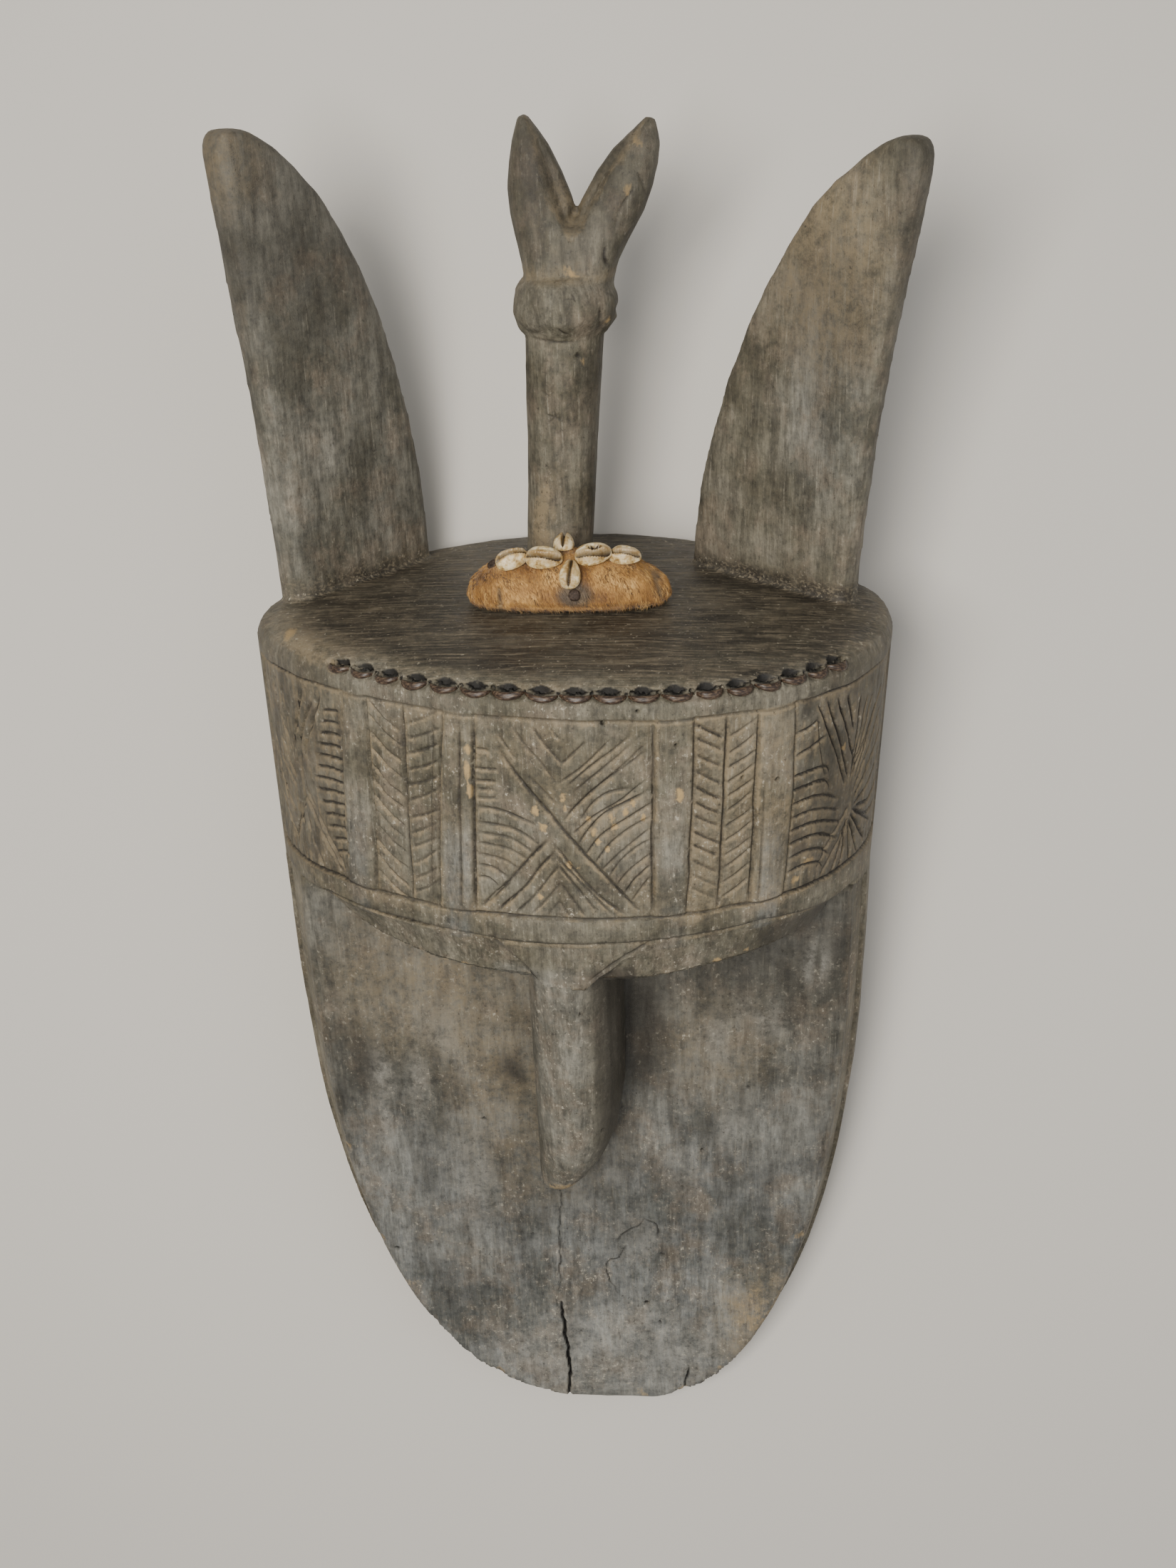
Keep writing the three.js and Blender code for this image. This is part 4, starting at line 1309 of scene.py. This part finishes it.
def make_hair(pad):
    """The hide's nap: thin three-sided hairs that lie down and to the right, as combed. Hairs
    by the thousand can't be set by hand, so their points are worked out."""
    rng = np.random.default_rng(7)
    mesh = pad.data
    p, out = upright(points_of(mesh)), leaned(normals_of(mesh), -LEAN)
    open_to_air = np.flatnonzero(p[:, 1] > PAD_MIDDLE[1] + 0.8)
    chosen = rng.choice(open_to_air, HAIRS)
    root, normal = p[chosen] + rng.normal(0, 0.35, (HAIRS, 3)), out[chosen]
    swirl = 0.30 * np.stack([noise(root, 14, seed) for seed in (81, 82, 83)], 1)
    comb = COMBED + swirl + rng.normal(0, 0.22, (HAIRS, 3))
    comb -= normal * (comb * normal).sum(1)[:, None]
    comb /= np.linalg.norm(comb, axis=1)[:, None]
    size = rng.uniform(*HAIR_LENGTH, HAIRS)[:, None]
    rise = rng.uniform(0.10, 0.30, HAIRS)[:, None]
    side = np.cross(comb, normal)
    root = root - normal * HAIR_ROOT
    tip = root + size * (comb * (1 - rise) + normal * rise)
    half = HAIR_WIDTH / 2
    corners = np.stack([root - side * half, root + side * half, root + normal * half * 1.5, tip], 1)
    step = 4 * np.arange(HAIRS)[:, None, None]
    faces = (step + np.array([[0, 2, 1], [0, 3, 2], [2, 3, 1], [1, 3, 0]])).reshape(-1, 3)
    nap = bpy.data.meshes.new("hide_nap")
    nap.from_pydata(laid(corners.reshape(-1, 3)).tolist(), [], faces.tolist())
    piece = bpy.data.objects.new("hide_nap", nap)
    bpy.context.scene.collection.objects.link(piece)
    face_outward(piece)
    # The hairs take the pad's iron stain and its painted shade.
    write_attribute(nap, "stain_and_shade", np.repeat(pad_stain_and_shade(root), 4))
    across = np.stack([root[:, 0] + 0.5 * root[:, 1], root[:, 1], root[:, 2]], 1)
    tufts = 0.3 * noise(across, (1.9, 8, 4), 85) + 0.26 * noise(root, (9, 6, 9), 84)
    tufts -= 0.4 * ramp(noise(across, (1.3, 6, 3), 87), 0.25, 0.6)
    write_attribute(nap, "shade", np.repeat(0.56 + tufts + rng.normal(0, 0.12, HAIRS), 4))
    nap.materials.append(hair_hide("hair of the hide"))
    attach(piece, "root")


# A cowrie in mm: half its length and width, how far it goes up and down from its widest line,
# how much narrower one end is than the other (a share), and how high it sits on the pad
COWRIE_HALF = (10.5, 7.0)
COWRIE_RISE = 7.0
COWRIE_SINK = 2.1
COWRIE_TAPER = 0.18
COWRIE_LIFT = 3.4
SLIT_DEPTH = 3.4
LIP_RISE = 0.9
TOOTH_RISE = 0.3
TOOTH_PITCH = 1.55

# The hole in the broken one: its middle, half sizes and depth
HOLE_MIDDLE = (1.0, 0.4)
HOLE_HALF = (4.0, 2.3)
HOLE_DEPTH = 4.0

# The six cowries: place on the pad (x, z), heading and pitch in degrees, size, where the slit
# lies across the shell in mm, and how scalloped its lip is
COWRIES = {
    "far_left": dict(x=-30.5, z=18, heading=24, pitch=28, size=0.92, slit=0.2, scalloped=1.0),
    "left": dict(x=-12, z=20.5, heading=-3, pitch=32, size=1.0, slit=3.2, scalloped=0.0),
    "upper": dict(x=-2.5, z=3, heading=92, pitch=4, size=0.85, slit=0.3, scalloped=0.2),
    "lower": dict(x=3, z=28.5, heading=88, pitch=42, size=0.85, slit=0.2, scalloped=0.3),
    "broken": dict(x=15.5, z=18, heading=14, pitch=28, size=1.0, slit=4.3, scalloped=0.3, hole=True),
    "far_right": dict(x=33, z=14, heading=-6, pitch=22, size=0.88, slit=3.0, scalloped=0.1),
}


def headed(p, angle):
    """Points turned about the y axis."""
    c, s = math.cos(angle), math.sin(angle)
    x, y, z = p.T
    return np.stack([c * x + s * z, y, c * z - s * x], 1)


def make_cowrie(name, x, z, heading, pitch, size, slit, scalloped, hole=False):
    """A cowrie with its toothed slit up, shaped from a ball whose poles are its two ends."""
    deselect()
    bpy.ops.mesh.primitive_uv_sphere_add(segments=72, ring_count=72, radius=1)
    piece = bpy.context.object
    piece.name = "shell_" + name
    mesh = piece.data
    ball = points_of(mesh)
    along, up, across = -ball[:, 2], ball[:, 1], ball[:, 0]
    length, width = COWRIE_HALF
    taper = 1 - COWRIE_TAPER * along
    blunt = np.abs(across) ** 0.9 * np.sign(across)
    px = length * along
    pz = width * taper * blunt
    top = COWRIE_RISE * np.clip(up, 0, 1) ** 0.8
    py = np.where(up > 0, top, COWRIE_SINK * up)
    far = np.abs(along)
    curve = slit * np.sqrt(np.clip(1 - far ** 2, 0, 1)) + 0.4 * np.sin(along * 2.2)
    beside = pz - curve
    body = (up > 0) * ramp(up, 0.05, 0.4)
    gap = (0.85 + 0.35 * far ** 2) * (1 - far ** 8)
    cut = SLIT_DEPTH * np.exp(-(beside / gap) ** 2) * (1 - far ** 6)
    lips = LIP_RISE * np.exp(-((np.abs(beside) - 2.2) / 1.3) ** 2)
    teeth = TOOTH_RISE * np.cos(2 * np.pi * px / TOOTH_PITCH)
    teeth = teeth * np.exp(-((np.abs(beside) - 1.3) / 0.8) ** 2)
    scallops = 0.7 * scalloped * np.abs(np.sin(np.pi * px / 3.1)) * np.exp(-(beside + 1.8) ** 2)
    local = np.stack([px, py, pz], 1)
    dents = 0.25 * noise(local + 40 * x, 5, 91) + 0.1 * noise(local + 40 * x, 1.8, 92)
    py = py + body * ((lips + teeth) * (1 - far ** 4) + scallops - cut + dents)
    opened = np.zeros(len(px))
    if hole:
        off_x, off_z = px - HOLE_MIDDLE[0], pz - HOLE_MIDDLE[1]
        away = np.hypot(off_x / HOLE_HALF[0], off_z / HOLE_HALF[1])
        opened = 1 - ramp(away, 0.88, 1.08)
        py = py - HOLE_DEPTH * (1 - ramp(away, 0.74, 0.98))
    lean, lift = math.radians(pitch), COWRIE_LIFT * size
    p = leaned(headed(size * np.stack([px, py, pz], 1), math.radians(heading)), lean)
    seat = (x, pad_top(x, z) + lift * math.cos(lean), z + lift * math.sin(lean))
    place_points(mesh, laid(p + seat))
    face_outward(piece)
    bpy.ops.object.shade_smooth()
    # Painted shade in the slit and in the broken one's hole.
    opening_shade = body * np.exp(-(beside / (gap * 1.5)) ** 2)
    write_attribute(mesh, "opening_shade", np.clip(np.maximum(opening_shade, opened), 0, 1))
    yellowed = body * np.exp(-((np.abs(beside) - 1.8) / 1.6) ** 2) + 0.4 * ramp(-up, 0, 0.8)
    write_attribute(mesh, "tan", np.clip(yellowed, 0, 1))
    mesh.materials.append(cowrie_shell())
    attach(piece, "root")
    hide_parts("cowrie_" + name)


# Each stitch of the thong: its half length, height and thickness, its sag, how far its middle
# stands out, and how far its ends go into the wood
STITCH_HALF = (8.8, 1.9, 1.35)
STITCH_SAG = 2.0
STITCH_OUT = 1.0
STITCH_DIP = 3.0

# The crown's rounded front edge: its share of the log's radius at each height, and its slope
RIM_ROUND = ((-10, 1.0), (-4, 0.985), (-0.6, 0.93))
RIM_TILT = 0.0024


def rim_surface(angle, y):
    """Places on the crown's rounded front edge at angles from its front, and the ways out."""
    share = np.interp(y, *np.transpose(RIM_ROUND))
    across, out = np.sin(angle), np.cos(angle)
    side = across * share * log_half(y)
    depth = out * share * (FRONT_DEPTH + log_skew(y) * side)
    place = np.stack([side + log_shift(y), y, depth], 1)
    normal = np.stack([across / log_half(y), np.full(len(y), RIM_TILT), out / FRONT_DEPTH], 1)
    return place, normal / np.linalg.norm(normal, axis=1)[:, None]


def make_thong():
    """A dark twisted hide thong: each stitch is a flat glossy strand that sags between holes."""
    rng = np.random.default_rng(5)
    stitches = []
    for k in range(STITCHES):
        deselect()
        bpy.ops.mesh.primitive_uv_sphere_add(segments=20, ring_count=28, radius=1)
        stitch = bpy.context.object
        ball = points_of(stitch.data)
        along, up, out = -ball[:, 2], ball[:, 1], ball[:, 0]
        length = STITCH_HALF[0] * rng.uniform(0.94, 1.06)
        px = along * length
        tilt = rng.uniform(-0.05, 0.05)
        sag = STITCH_SAG * rng.uniform(0.8, 1.25)
        py = up * STITCH_HALF[1] * rng.uniform(0.9, 1.15) - sag * (1 - along ** 2) + tilt * px
        groove = 0.28 * np.exp(-((up - 0.25 * np.sin(3 * along)) / 0.16) ** 2) * (out > 0)
        pz = out * (STITCH_HALF[2] - groove) + STITCH_OUT * (1 - along ** 2)
        pz = pz - STITCH_DIP * along ** 4
        place, normal = rim_surface(stitch_middle(k) + px / HALF_WIDTH, STITCH_HEIGHT + py)
        p = place + normal * (pz + 0.12 * noise(place, 2.5, 95))[:, None]
        place_points(stitch.data, laid(p))
        stitches.append(stitch)
    deselect()
    for stitch in stitches:
        stitch.select_set(True)
    bpy.context.view_layer.objects.active = stitches[0]
    bpy.ops.object.join()
    piece = bpy.context.object
    piece.name = "rim_stitches"
    face_outward(piece)
    bpy.ops.object.shade_smooth()
    piece.data.materials.append(dark_thong())
    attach(piece, "root")
    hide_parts("rim_thong")


# A nail's head, in mm, and the steps of its dome as (how far in, how far up)
NAIL_RADIUS = 3.3
NAIL_HEIGHT = 2.0
NAIL_STEPS = ((0.6, 0.45), (1.0, 0.3), (0.8, -0.1))


def make_nail(name, place, facing):
    """A forged nail head: a low dome with a hammered rim."""
    deselect()
    bpy.ops.mesh.primitive_cylinder_add(
        vertices=24, radius=NAIL_RADIUS * MM, depth=NAIL_HEIGHT * MM
    )
    piece = bpy.context.object
    piece.name = "rusty_" + name
    mesh = piece.data
    select_faces(piece, [face.normal.z > 0.9 for face in mesh.polygons])
    for inset, rise in NAIL_STEPS:
        bpy.ops.mesh.inset(thickness=inset * MM)
        bpy.ops.transform.translate(value=(0, 0, rise * MM))
    bpy.ops.object.mode_set(mode="OBJECT")
    apply_modifier(piece, "BEVEL", width=0.35 * MM, segments=2)
    apply_modifier(piece, "SUBSURF", levels=1, render_levels=1)
    p = points_of(mesh) / MM
    uneven = 0.22 * noise(p, (2.2, 2.2, 3), 97) * ramp(np.hypot(p[:, 0], p[:, 1]), 0.8, 2.5)
    p += uneven[:, None] * p / NAIL_RADIUS
    p[:, 2] += 0.16 * noise(p, 1.3, 98)
    turn = np.array(Vector(facing).to_track_quat("Z", "Y").to_matrix())
    place_points(mesh, laid(p @ turn.T + place))
    activate(piece)
    bpy.ops.object.shade_smooth()
    mesh.materials.append(rusted_iron())
    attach(piece, "root")
    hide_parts(name)


# Materials


def new_material(name):
    material = bpy.data.materials.new(name)
    material.use_nodes = True
    tree = material.node_tree
    return material, tree, tree.nodes["Principled BSDF"]


def add(tree, kind, inputs=None, links=None, **settings):
    """Adds a node with its settings, its inputs' values and what they are linked to."""
    node = tree.nodes.new(kind)
    for name, value in settings.items():
        setattr(node, name, value)
    for socket, value in (inputs or {}).items():
        node.inputs[socket].default_value = value
    for socket, source in (links or {}).items():
        tree.links.new(source, node.inputs[socket])
    return node


def patina_wood():
    """Old carved wood, adzed, rubbed and dusty: brown-grey, bleached blue-grey on the face, with
    ochre dust in the low places, black smoke stains and tan bare wood where it has chipped. Its
    colour also holds painted light: highlights on the cuts' lit lips, shade in the cuts, scores
    and creases and under the brow lip, and near-black shade in holes, cracks and slots."""
    material, tree, shader = new_material("aged carved wood")
    place = add(tree, "ShaderNodeTexCoord").outputs["Object"]
    mm = add(
        tree, "ShaderNodeMapping", {"Rotation": (-LEAN, 0, 0), "Scale": (1000, 1000, 1000)},
        {"Vector": place},
    ).outputs[0]
    streaky = add(tree, "ShaderNodeMapping", {"Scale": (1, 0.16, 1)}, {"Vector": mm}).outputs[0]
    drawn_out = add(tree, "ShaderNodeMapping", {"Scale": (1, 0.05, 1)}, {"Vector": mm}).outputs[0]
    elsewhere = add(
        tree, "ShaderNodeMapping", {"Location": (310, 170, 90), "Scale": (1, 0.8, 1)}, {"Vector": mm}
    ).outputs[0]
    sideways = add(tree, "ShaderNodeMapping", {"Scale": (0.05, 1, 1)}, {"Vector": mm}).outputs[0]
    fac = {}

    # Widths in mm. The wood's fibres and its fine scratches are under 1 mm wide, too fine to
    # show, so they are drawn 2.2 and 1.6 mm wide.
    for name, wide, detail, roughness, source in (
        ("blotches", 55, 5, 0.60, mm),
        ("patches", 26, 7, 0.70, elsewhere),
        ("grain", 2.2, 6, 0.78, streaky),
        ("scratches", 1.6, 3, 0.60, drawn_out),
        ("mottle", 6, 8, 0.80, mm),
        ("specks", 2.4, 3, 0.70, elsewhere),
        ("smudges", 7, 5, 0.65, streaky),
        ("wipes", 1.6, 4, 0.65, sideways),
    ):
        inputs = {"Scale": 1 / wide, "Detail": detail, "Roughness": roughness}
        fac[name] = add(tree, "ShaderNodeTexNoise", inputs, {"Vector": source}).outputs["Fac"]
    for name in ("dust_and_lit_lips", "worn", "soot_and_shade", "hole_shade", "inside", "pale", "top", "scuff", "calm"):
        fac[name] = add(tree, "ShaderNodeAttribute", attribute_name=name).outputs["Fac"]

    brown = add(tree, "ShaderNodeValToRGB", None, {"Fac": fac["blotches"]})
    set_ramp(brown, ((0.38, "#464337"), (0.50, "#59564a"), (0.62, "#6b675b")))
    grey = add(tree, "ShaderNodeValToRGB", None, {"Fac": fac["blotches"]})
    set_ramp(grey, ((0.39, "#4d504e"), (0.50, "#686a68"), (0.61, "#80817c")))
    colour = add(
        tree, "ShaderNodeMix", None, {0: fac["pale"], 6: brown.outputs[0], 7: grey.outputs[0]},
        data_type="RGBA",
    ).outputs[2]
    tone = add(
        tree, "ShaderNodeMix", {0: 0.45}, {2: fac["grain"], 3: fac["mottle"]}, data_type="FLOAT"
    ).outputs[0]
    tone = add(
        tree, "ShaderNodeMapRange", {"From Min": 0.38, "From Max": 0.62, "To Min": 0.5, "To Max": 1.5},
        {"Value": tone},
    ).outputs[0]
    smudged = add(
        tree, "ShaderNodeMapRange",
        {"From Min": 0.38, "From Max": 0.62, "To Min": 0.7, "To Max": 1.34},
        {"Value": fac["smudges"]},
    ).outputs[0]
    tone = add(tree, "ShaderNodeMath", None, {0: tone, 1: smudged}, operation="MULTIPLY").outputs[0]

    # Each finish has a share, which runs from 0 at low to most at high.
    for name, source, low, high, most in (
        ("clouds", "patches", 0.50, 0.64, 0.55),
        ("spread", "mottle", 0.40, 0.60, 1.0),
        ("lines", "scratches", 0.58, 0.70, 0.5),
        ("flecks", "specks", 0.58, 0.68, 0.85),
        ("dents", "specks", 0.38, 0.28, 0.65),
        ("patchy", "patches", 0.44, 0.58, 1.0),
        ("wiped", "wipes", 0.47, 0.62, 0.6),
        ("dots", "specks", 0.64, 0.70, 0.8),
    ):
        inputs = {"From Min": low, "From Max": high, "To Max": most}
        fac[name] = add(tree, "ShaderNodeMapRange", inputs, {"Value": fac[source]}).outputs[0]
    for name, one, other, kind in (
        ("uneven", "spread", 0.3, "ADD"),
        ("dust_and_highlights", "dust_and_lit_lips", 0.12, "ADD"),
        ("dust_and_highlights", "dust_and_highlights", "uneven", "MULTIPLY"),
        ("dust_and_highlights", "dust_and_highlights", 0.8, "MULTIPLY"),
        ("lines", "lines", "spread", "MULTIPLY"),
        ("flecks", "flecks", "spread", "MULTIPLY"),
        ("patchy", "patchy", 0.2, "ADD"),
        ("flecks", "flecks", "patchy", "MULTIPLY"),
        ("wiped", "wiped", "top", "MULTIPLY"),
        ("wiped", "wiped", "uneven", "MULTIPLY"),
        ("dots", "dots", "top", "MULTIPLY"),
        ("quiet", "calm", -0.75, "MULTIPLY"),
        ("quiet", "quiet", 1.0, "ADD"),
        ("flecks", "flecks", "quiet", "MULTIPLY"),
        ("scuffed", "uneven", "scuff", "MULTIPLY"),
        ("bare", "worn", "mottle", "ADD"),
        ("bare", "bare", "grain", "ADD"),
        ("bare", "bare", "specks", "ADD"),
        ("bare", "bare", -1.85, "ADD"),
        ("bare", "bare", 1.7, "MULTIPLY"),
        ("smoke_and_shade", "grain", 0.5, "ADD"),
        ("smoke_and_shade", "smoke_and_shade", "soot_and_shade", "MULTIPLY"),
        ("rubbed", "soot_and_shade", -0.2, "MULTIPLY"),
    ):
        inputs, links = {}, {0: fac[one]}
        if isinstance(other, str):
            links[1] = fac[other]
        else:
            inputs[1] = other
        clamped = kind == "MULTIPLY" and name not in ("rubbed", "quiet")
        step = add(tree, "ShaderNodeMath", inputs, links, operation=kind, use_clamp=clamped)
        fac[name] = step.outputs[0]

    colour = add(
        tree, "ShaderNodeMix", {7: linear("#766a5b")}, {0: fac["clouds"], 6: colour}, data_type="RGBA"
    ).outputs[2]
    colour = add(
        tree, "ShaderNodeMix", {0: 1.0}, {6: colour, 7: tone}, data_type="RGBA", blend_type="MULTIPLY"
    ).outputs[2]
    for name, code in (
        # Ochre: dust, and the painted highlights on the cuts' lit lips.
        ("dust_and_highlights", "#8c7d62"),
        ("scuffed", "#a5a298"),
        ("lines", "#a09a8a"),
        ("flecks", "#bbb4a2"),
        ("dents", "#2c2822"),
        ("bare", "#ad9367"),
        # Near black: smoke stains, and painted shade in cuts, scores and creases.
        ("smoke_and_shade", "#29251f"),
        ("wiped", "#867b66"),
        ("dots", "#aaa18c"),
        ("inside", "#54473a"),
        # Near-black painted shade in holes, cracks and the stitches' slots.
        ("hole_shade", "#0d0b09"),
    ):
        colour = add(
            tree, "ShaderNodeMix", {7: linear(code)}, {0: fac[name], 6: colour}, data_type="RGBA"
        ).outputs[2]
    tree.links.new(colour, shader.inputs["Base Color"])

    rough = add(
        tree, "ShaderNodeMapRange", {"From Min": 0.3, "From Max": 0.7, "To Min": 0.5, "To Max": 0.82},
        {"Value": fac["mottle"]},
    ).outputs[0]
    rough = add(tree, "ShaderNodeMath", None, {0: rough, 1: fac["rubbed"]}, operation="ADD").outputs[0]
    tree.links.new(rough, shader.inputs["Roughness"])
    shader.inputs["Specular IOR Level"].default_value = 0.4
    fine = add(
        tree, "ShaderNodeBump", {"Strength": 0.6, "Distance": 0.5 * MM}, {"Height": fac["grain"]}
    ).outputs[0]
    rough_skin = add(
        tree, "ShaderNodeBump", {"Strength": 0.7, "Distance": 0.9 * MM},
        {"Height": fac["mottle"], "Normal": fine},
    ).outputs[0]
    tree.links.new(rough_skin, shader.inputs["Normal"])
    return material


def hair_hide(name):
    """Hair-on hide: short straight hair, golden brown, that lies flat and has a soft sheen. It
    is darker at the roots and folds, which is painted shade, and stained grey where iron has
    rusted on it."""
    material, tree, shader = new_material(name)

    # The hairs are under 0.1 mm wide, too fine to show, so the pattern is of tufts 1.4 mm wide.
    place = add(tree, "ShaderNodeTexCoord").outputs["Object"]
    mm = add(
        tree, "ShaderNodeMapping", {"Rotation": (-LEAN, 0, 0), "Scale": (1000, 1000, 1000)},
        {"Vector": place},
    ).outputs[0]
    combed = add(
        tree, "ShaderNodeMapping", {"Rotation": (0, 0, 0.6), "Scale": (1, 0.3, 1)}, {"Vector": mm}
    ).outputs[0]
    tufts = add(
        tree, "ShaderNodeTexNoise", {"Scale": 1 / 1.4, "Detail": 4, "Roughness": 0.7},
        {"Vector": combed},
    ).outputs["Fac"]
    shade = add(tree, "ShaderNodeAttribute", attribute_name="shade").outputs["Fac"]
    stain_and_shade = add(tree, "ShaderNodeAttribute", attribute_name="stain_and_shade").outputs["Fac"]
    mixed = add(tree, "ShaderNodeMix", {0: 0.45}, {2: shade, 3: tufts}, data_type="FLOAT").outputs[0]
    tone = add(tree, "ShaderNodeValToRGB", None, {"Fac": mixed})
    set_ramp(tone, ((0.20, "#37220e"), (0.38, "#7b5323"), (0.56, "#aa7e3f"), (0.80, "#d6ad69")))
    # Grey: the iron stain, and painted shade along the pad's bottom and in its folds.
    stain_and_shade_share = add(tree, "ShaderNodeMath", {1: 0.85}, {0: stain_and_shade}, operation="MULTIPLY").outputs[0]
    colour = add(
        tree, "ShaderNodeMix", {7: linear("#4b443a")}, {0: stain_and_shade_share, 6: tone.outputs[0]},
        data_type="RGBA",
    ).outputs[2]
    tree.links.new(colour, shader.inputs["Base Color"])
    shader.inputs["Roughness"].default_value = 0.62
    shader.inputs["Sheen Weight"].default_value = 0.25
    shader.inputs["Sheen Roughness"].default_value = 0.5
    nap = add(
        tree, "ShaderNodeBump", {"Strength": 0.8, "Distance": 0.6 * MM}, {"Height": tufts}
    ).outputs[0]
    tree.links.new(nap, shader.inputs["Normal"])
    return material


def cowrie_shell():
    """Worn cowrie shell: porcelain-smooth ivory, yellowed along the teeth, with painted shade in
    the slit and the broken one's hole. Handling has taken some of the gloss."""
    material, tree, shader = new_material("worn cowrie shell")
    place = add(tree, "ShaderNodeTexCoord").outputs["Object"]
    mm = add(tree, "ShaderNodeMapping", {"Scale": (1000, 1000, 1000)}, {"Vector": place}).outputs[0]
    clouds = add(
        tree, "ShaderNodeTexNoise", {"Scale": 1 / 4, "Detail": 5, "Roughness": 0.65}, {"Vector": mm}
    ).outputs["Fac"]
    opening_shade = add(tree, "ShaderNodeAttribute", attribute_name="opening_shade").outputs["Fac"]
    yellow = add(tree, "ShaderNodeAttribute", attribute_name="tan").outputs["Fac"]
    tone = add(tree, "ShaderNodeValToRGB", None, {"Fac": clouds})
    set_ramp(tone, ((0.34, "#8a6b3b"), (0.47, "#ceb27a"), (0.60, "#f6e6bd")))
    tanned = add(tree, "ShaderNodeMath", None, {0: yellow, 1: clouds}, operation="MULTIPLY").outputs[0]
    colour = add(
        tree, "ShaderNodeMix", {7: linear("#a17c4b")}, {0: tanned, 6: tone.outputs[0]},
        data_type="RGBA",
    ).outputs[2]
    # Dark brown painted shade in the slit and the hole.
    colour = add(
        tree, "ShaderNodeMix", {7: linear("#2a1c10")}, {0: opening_shade, 6: colour}, data_type="RGBA"
    ).outputs[2]
    tree.links.new(colour, shader.inputs["Base Color"])
    gloss = add(
        tree, "ShaderNodeMapRange", {"To Min": 0.28, "To Max": 0.5}, {"Value": clouds}
    ).outputs[0]
    tree.links.new(gloss, shader.inputs["Roughness"])
    shader.inputs["IOR"].default_value = 1.53
    fine = add(
        tree, "ShaderNodeBump", {"Strength": 0.25, "Distance": 0.2 * MM}, {"Height": clouds}
    ).outputs[0]
    tree.links.new(fine, shader.inputs["Normal"])
    return material


def dark_thong():
    """Rawhide thong blackened by handling: nearly black red-brown, hard and glossy, with the
    twist's fine lengthwise ribs."""
    material, tree, shader = new_material("dark rawhide thong")

    # The ribs are about 0.3 mm apart, too fine to show, so they are drawn 0.9 mm apart.
    place = add(tree, "ShaderNodeTexCoord").outputs["Object"]
    mm = add(tree, "ShaderNodeMapping", {"Scale": (1000, 1000, 1000)}, {"Vector": place}).outputs[0]
    lengthwise = add(tree, "ShaderNodeMapping", {"Scale": (0.25, 1, 1)}, {"Vector": mm}).outputs[0]
    ribs = add(
        tree, "ShaderNodeTexNoise", {"Scale": 1 / 0.9, "Detail": 3, "Roughness": 0.6},
        {"Vector": lengthwise},
    ).outputs["Fac"]
    tone = add(tree, "ShaderNodeValToRGB", None, {"Fac": ribs})
    set_ramp(tone, ((0.32, "#1b120c"), (0.50, "#3a2b1f"), (0.72, "#6a5845")))
    tree.links.new(tone.outputs[0], shader.inputs["Base Color"])
    gloss = add(
        tree, "ShaderNodeMapRange", {"To Min": 0.25, "To Max": 0.6}, {"Value": ribs}
    ).outputs[0]
    tree.links.new(gloss, shader.inputs["Roughness"])
    fine = add(
        tree, "ShaderNodeBump", {"Strength": 0.5, "Distance": 0.3 * MM}, {"Height": ribs}
    ).outputs[0]
    tree.links.new(fine, shader.inputs["Normal"])
    return material


def rusted_iron():
    """Forged iron gone to dull dark rust, with grey worn spots."""
    material, tree, shader = new_material("rusted forged iron")

    # Rust's grains are under 0.3 mm across, too fine to show, so they are drawn 1.2 mm across.
    place = add(tree, "ShaderNodeTexCoord").outputs["Object"]
    mm = add(tree, "ShaderNodeMapping", {"Scale": (1000, 1000, 1000)}, {"Vector": place}).outputs[0]
    scale = add(
        tree, "ShaderNodeTexNoise", {"Scale": 1 / 1.2, "Detail": 5, "Roughness": 0.7}, {"Vector": mm}
    ).outputs["Fac"]
    tone = add(tree, "ShaderNodeValToRGB", None, {"Fac": scale})
    set_ramp(tone, ((0.35, "#221a15"), (0.52, "#43352b"), (0.66, "#5d5046")))
    tree.links.new(tone.outputs[0], shader.inputs["Base Color"])
    shader.inputs["Metallic"].default_value = 0.35
    rough = add(
        tree, "ShaderNodeMapRange", {"To Min": 0.5, "To Max": 0.9}, {"Value": scale}
    ).outputs[0]
    tree.links.new(rough, shader.inputs["Roughness"])
    fine = add(
        tree, "ShaderNodeBump", {"Strength": 0.8, "Distance": 0.3 * MM}, {"Height": scale}
    ).outputs[0]
    tree.links.new(fine, shader.inputs["Normal"])
    return material


def set_ramp(ramp_node, stops):
    """Fills a colour ramp with (position, hex colour) stops."""
    elements = ramp_node.color_ramp.elements
    while len(elements) < len(stops):
        elements.new(0.5)
    for element, (position, code) in zip(elements, stops):
        element.position = position
        element.color = linear(code)


make_camera()
make_studio()
carve_body()
hide = make_pad()
make_hair(hide)
for cowrie, facts in COWRIES.items():
    make_cowrie(cowrie, **facts)
make_thong()
make_nail("nail_front", FRONT_NAIL, (0, 0.3, 1))
make_nail("nail_left", LEFT_NAIL, (-0.5, 0.8, 0.5))
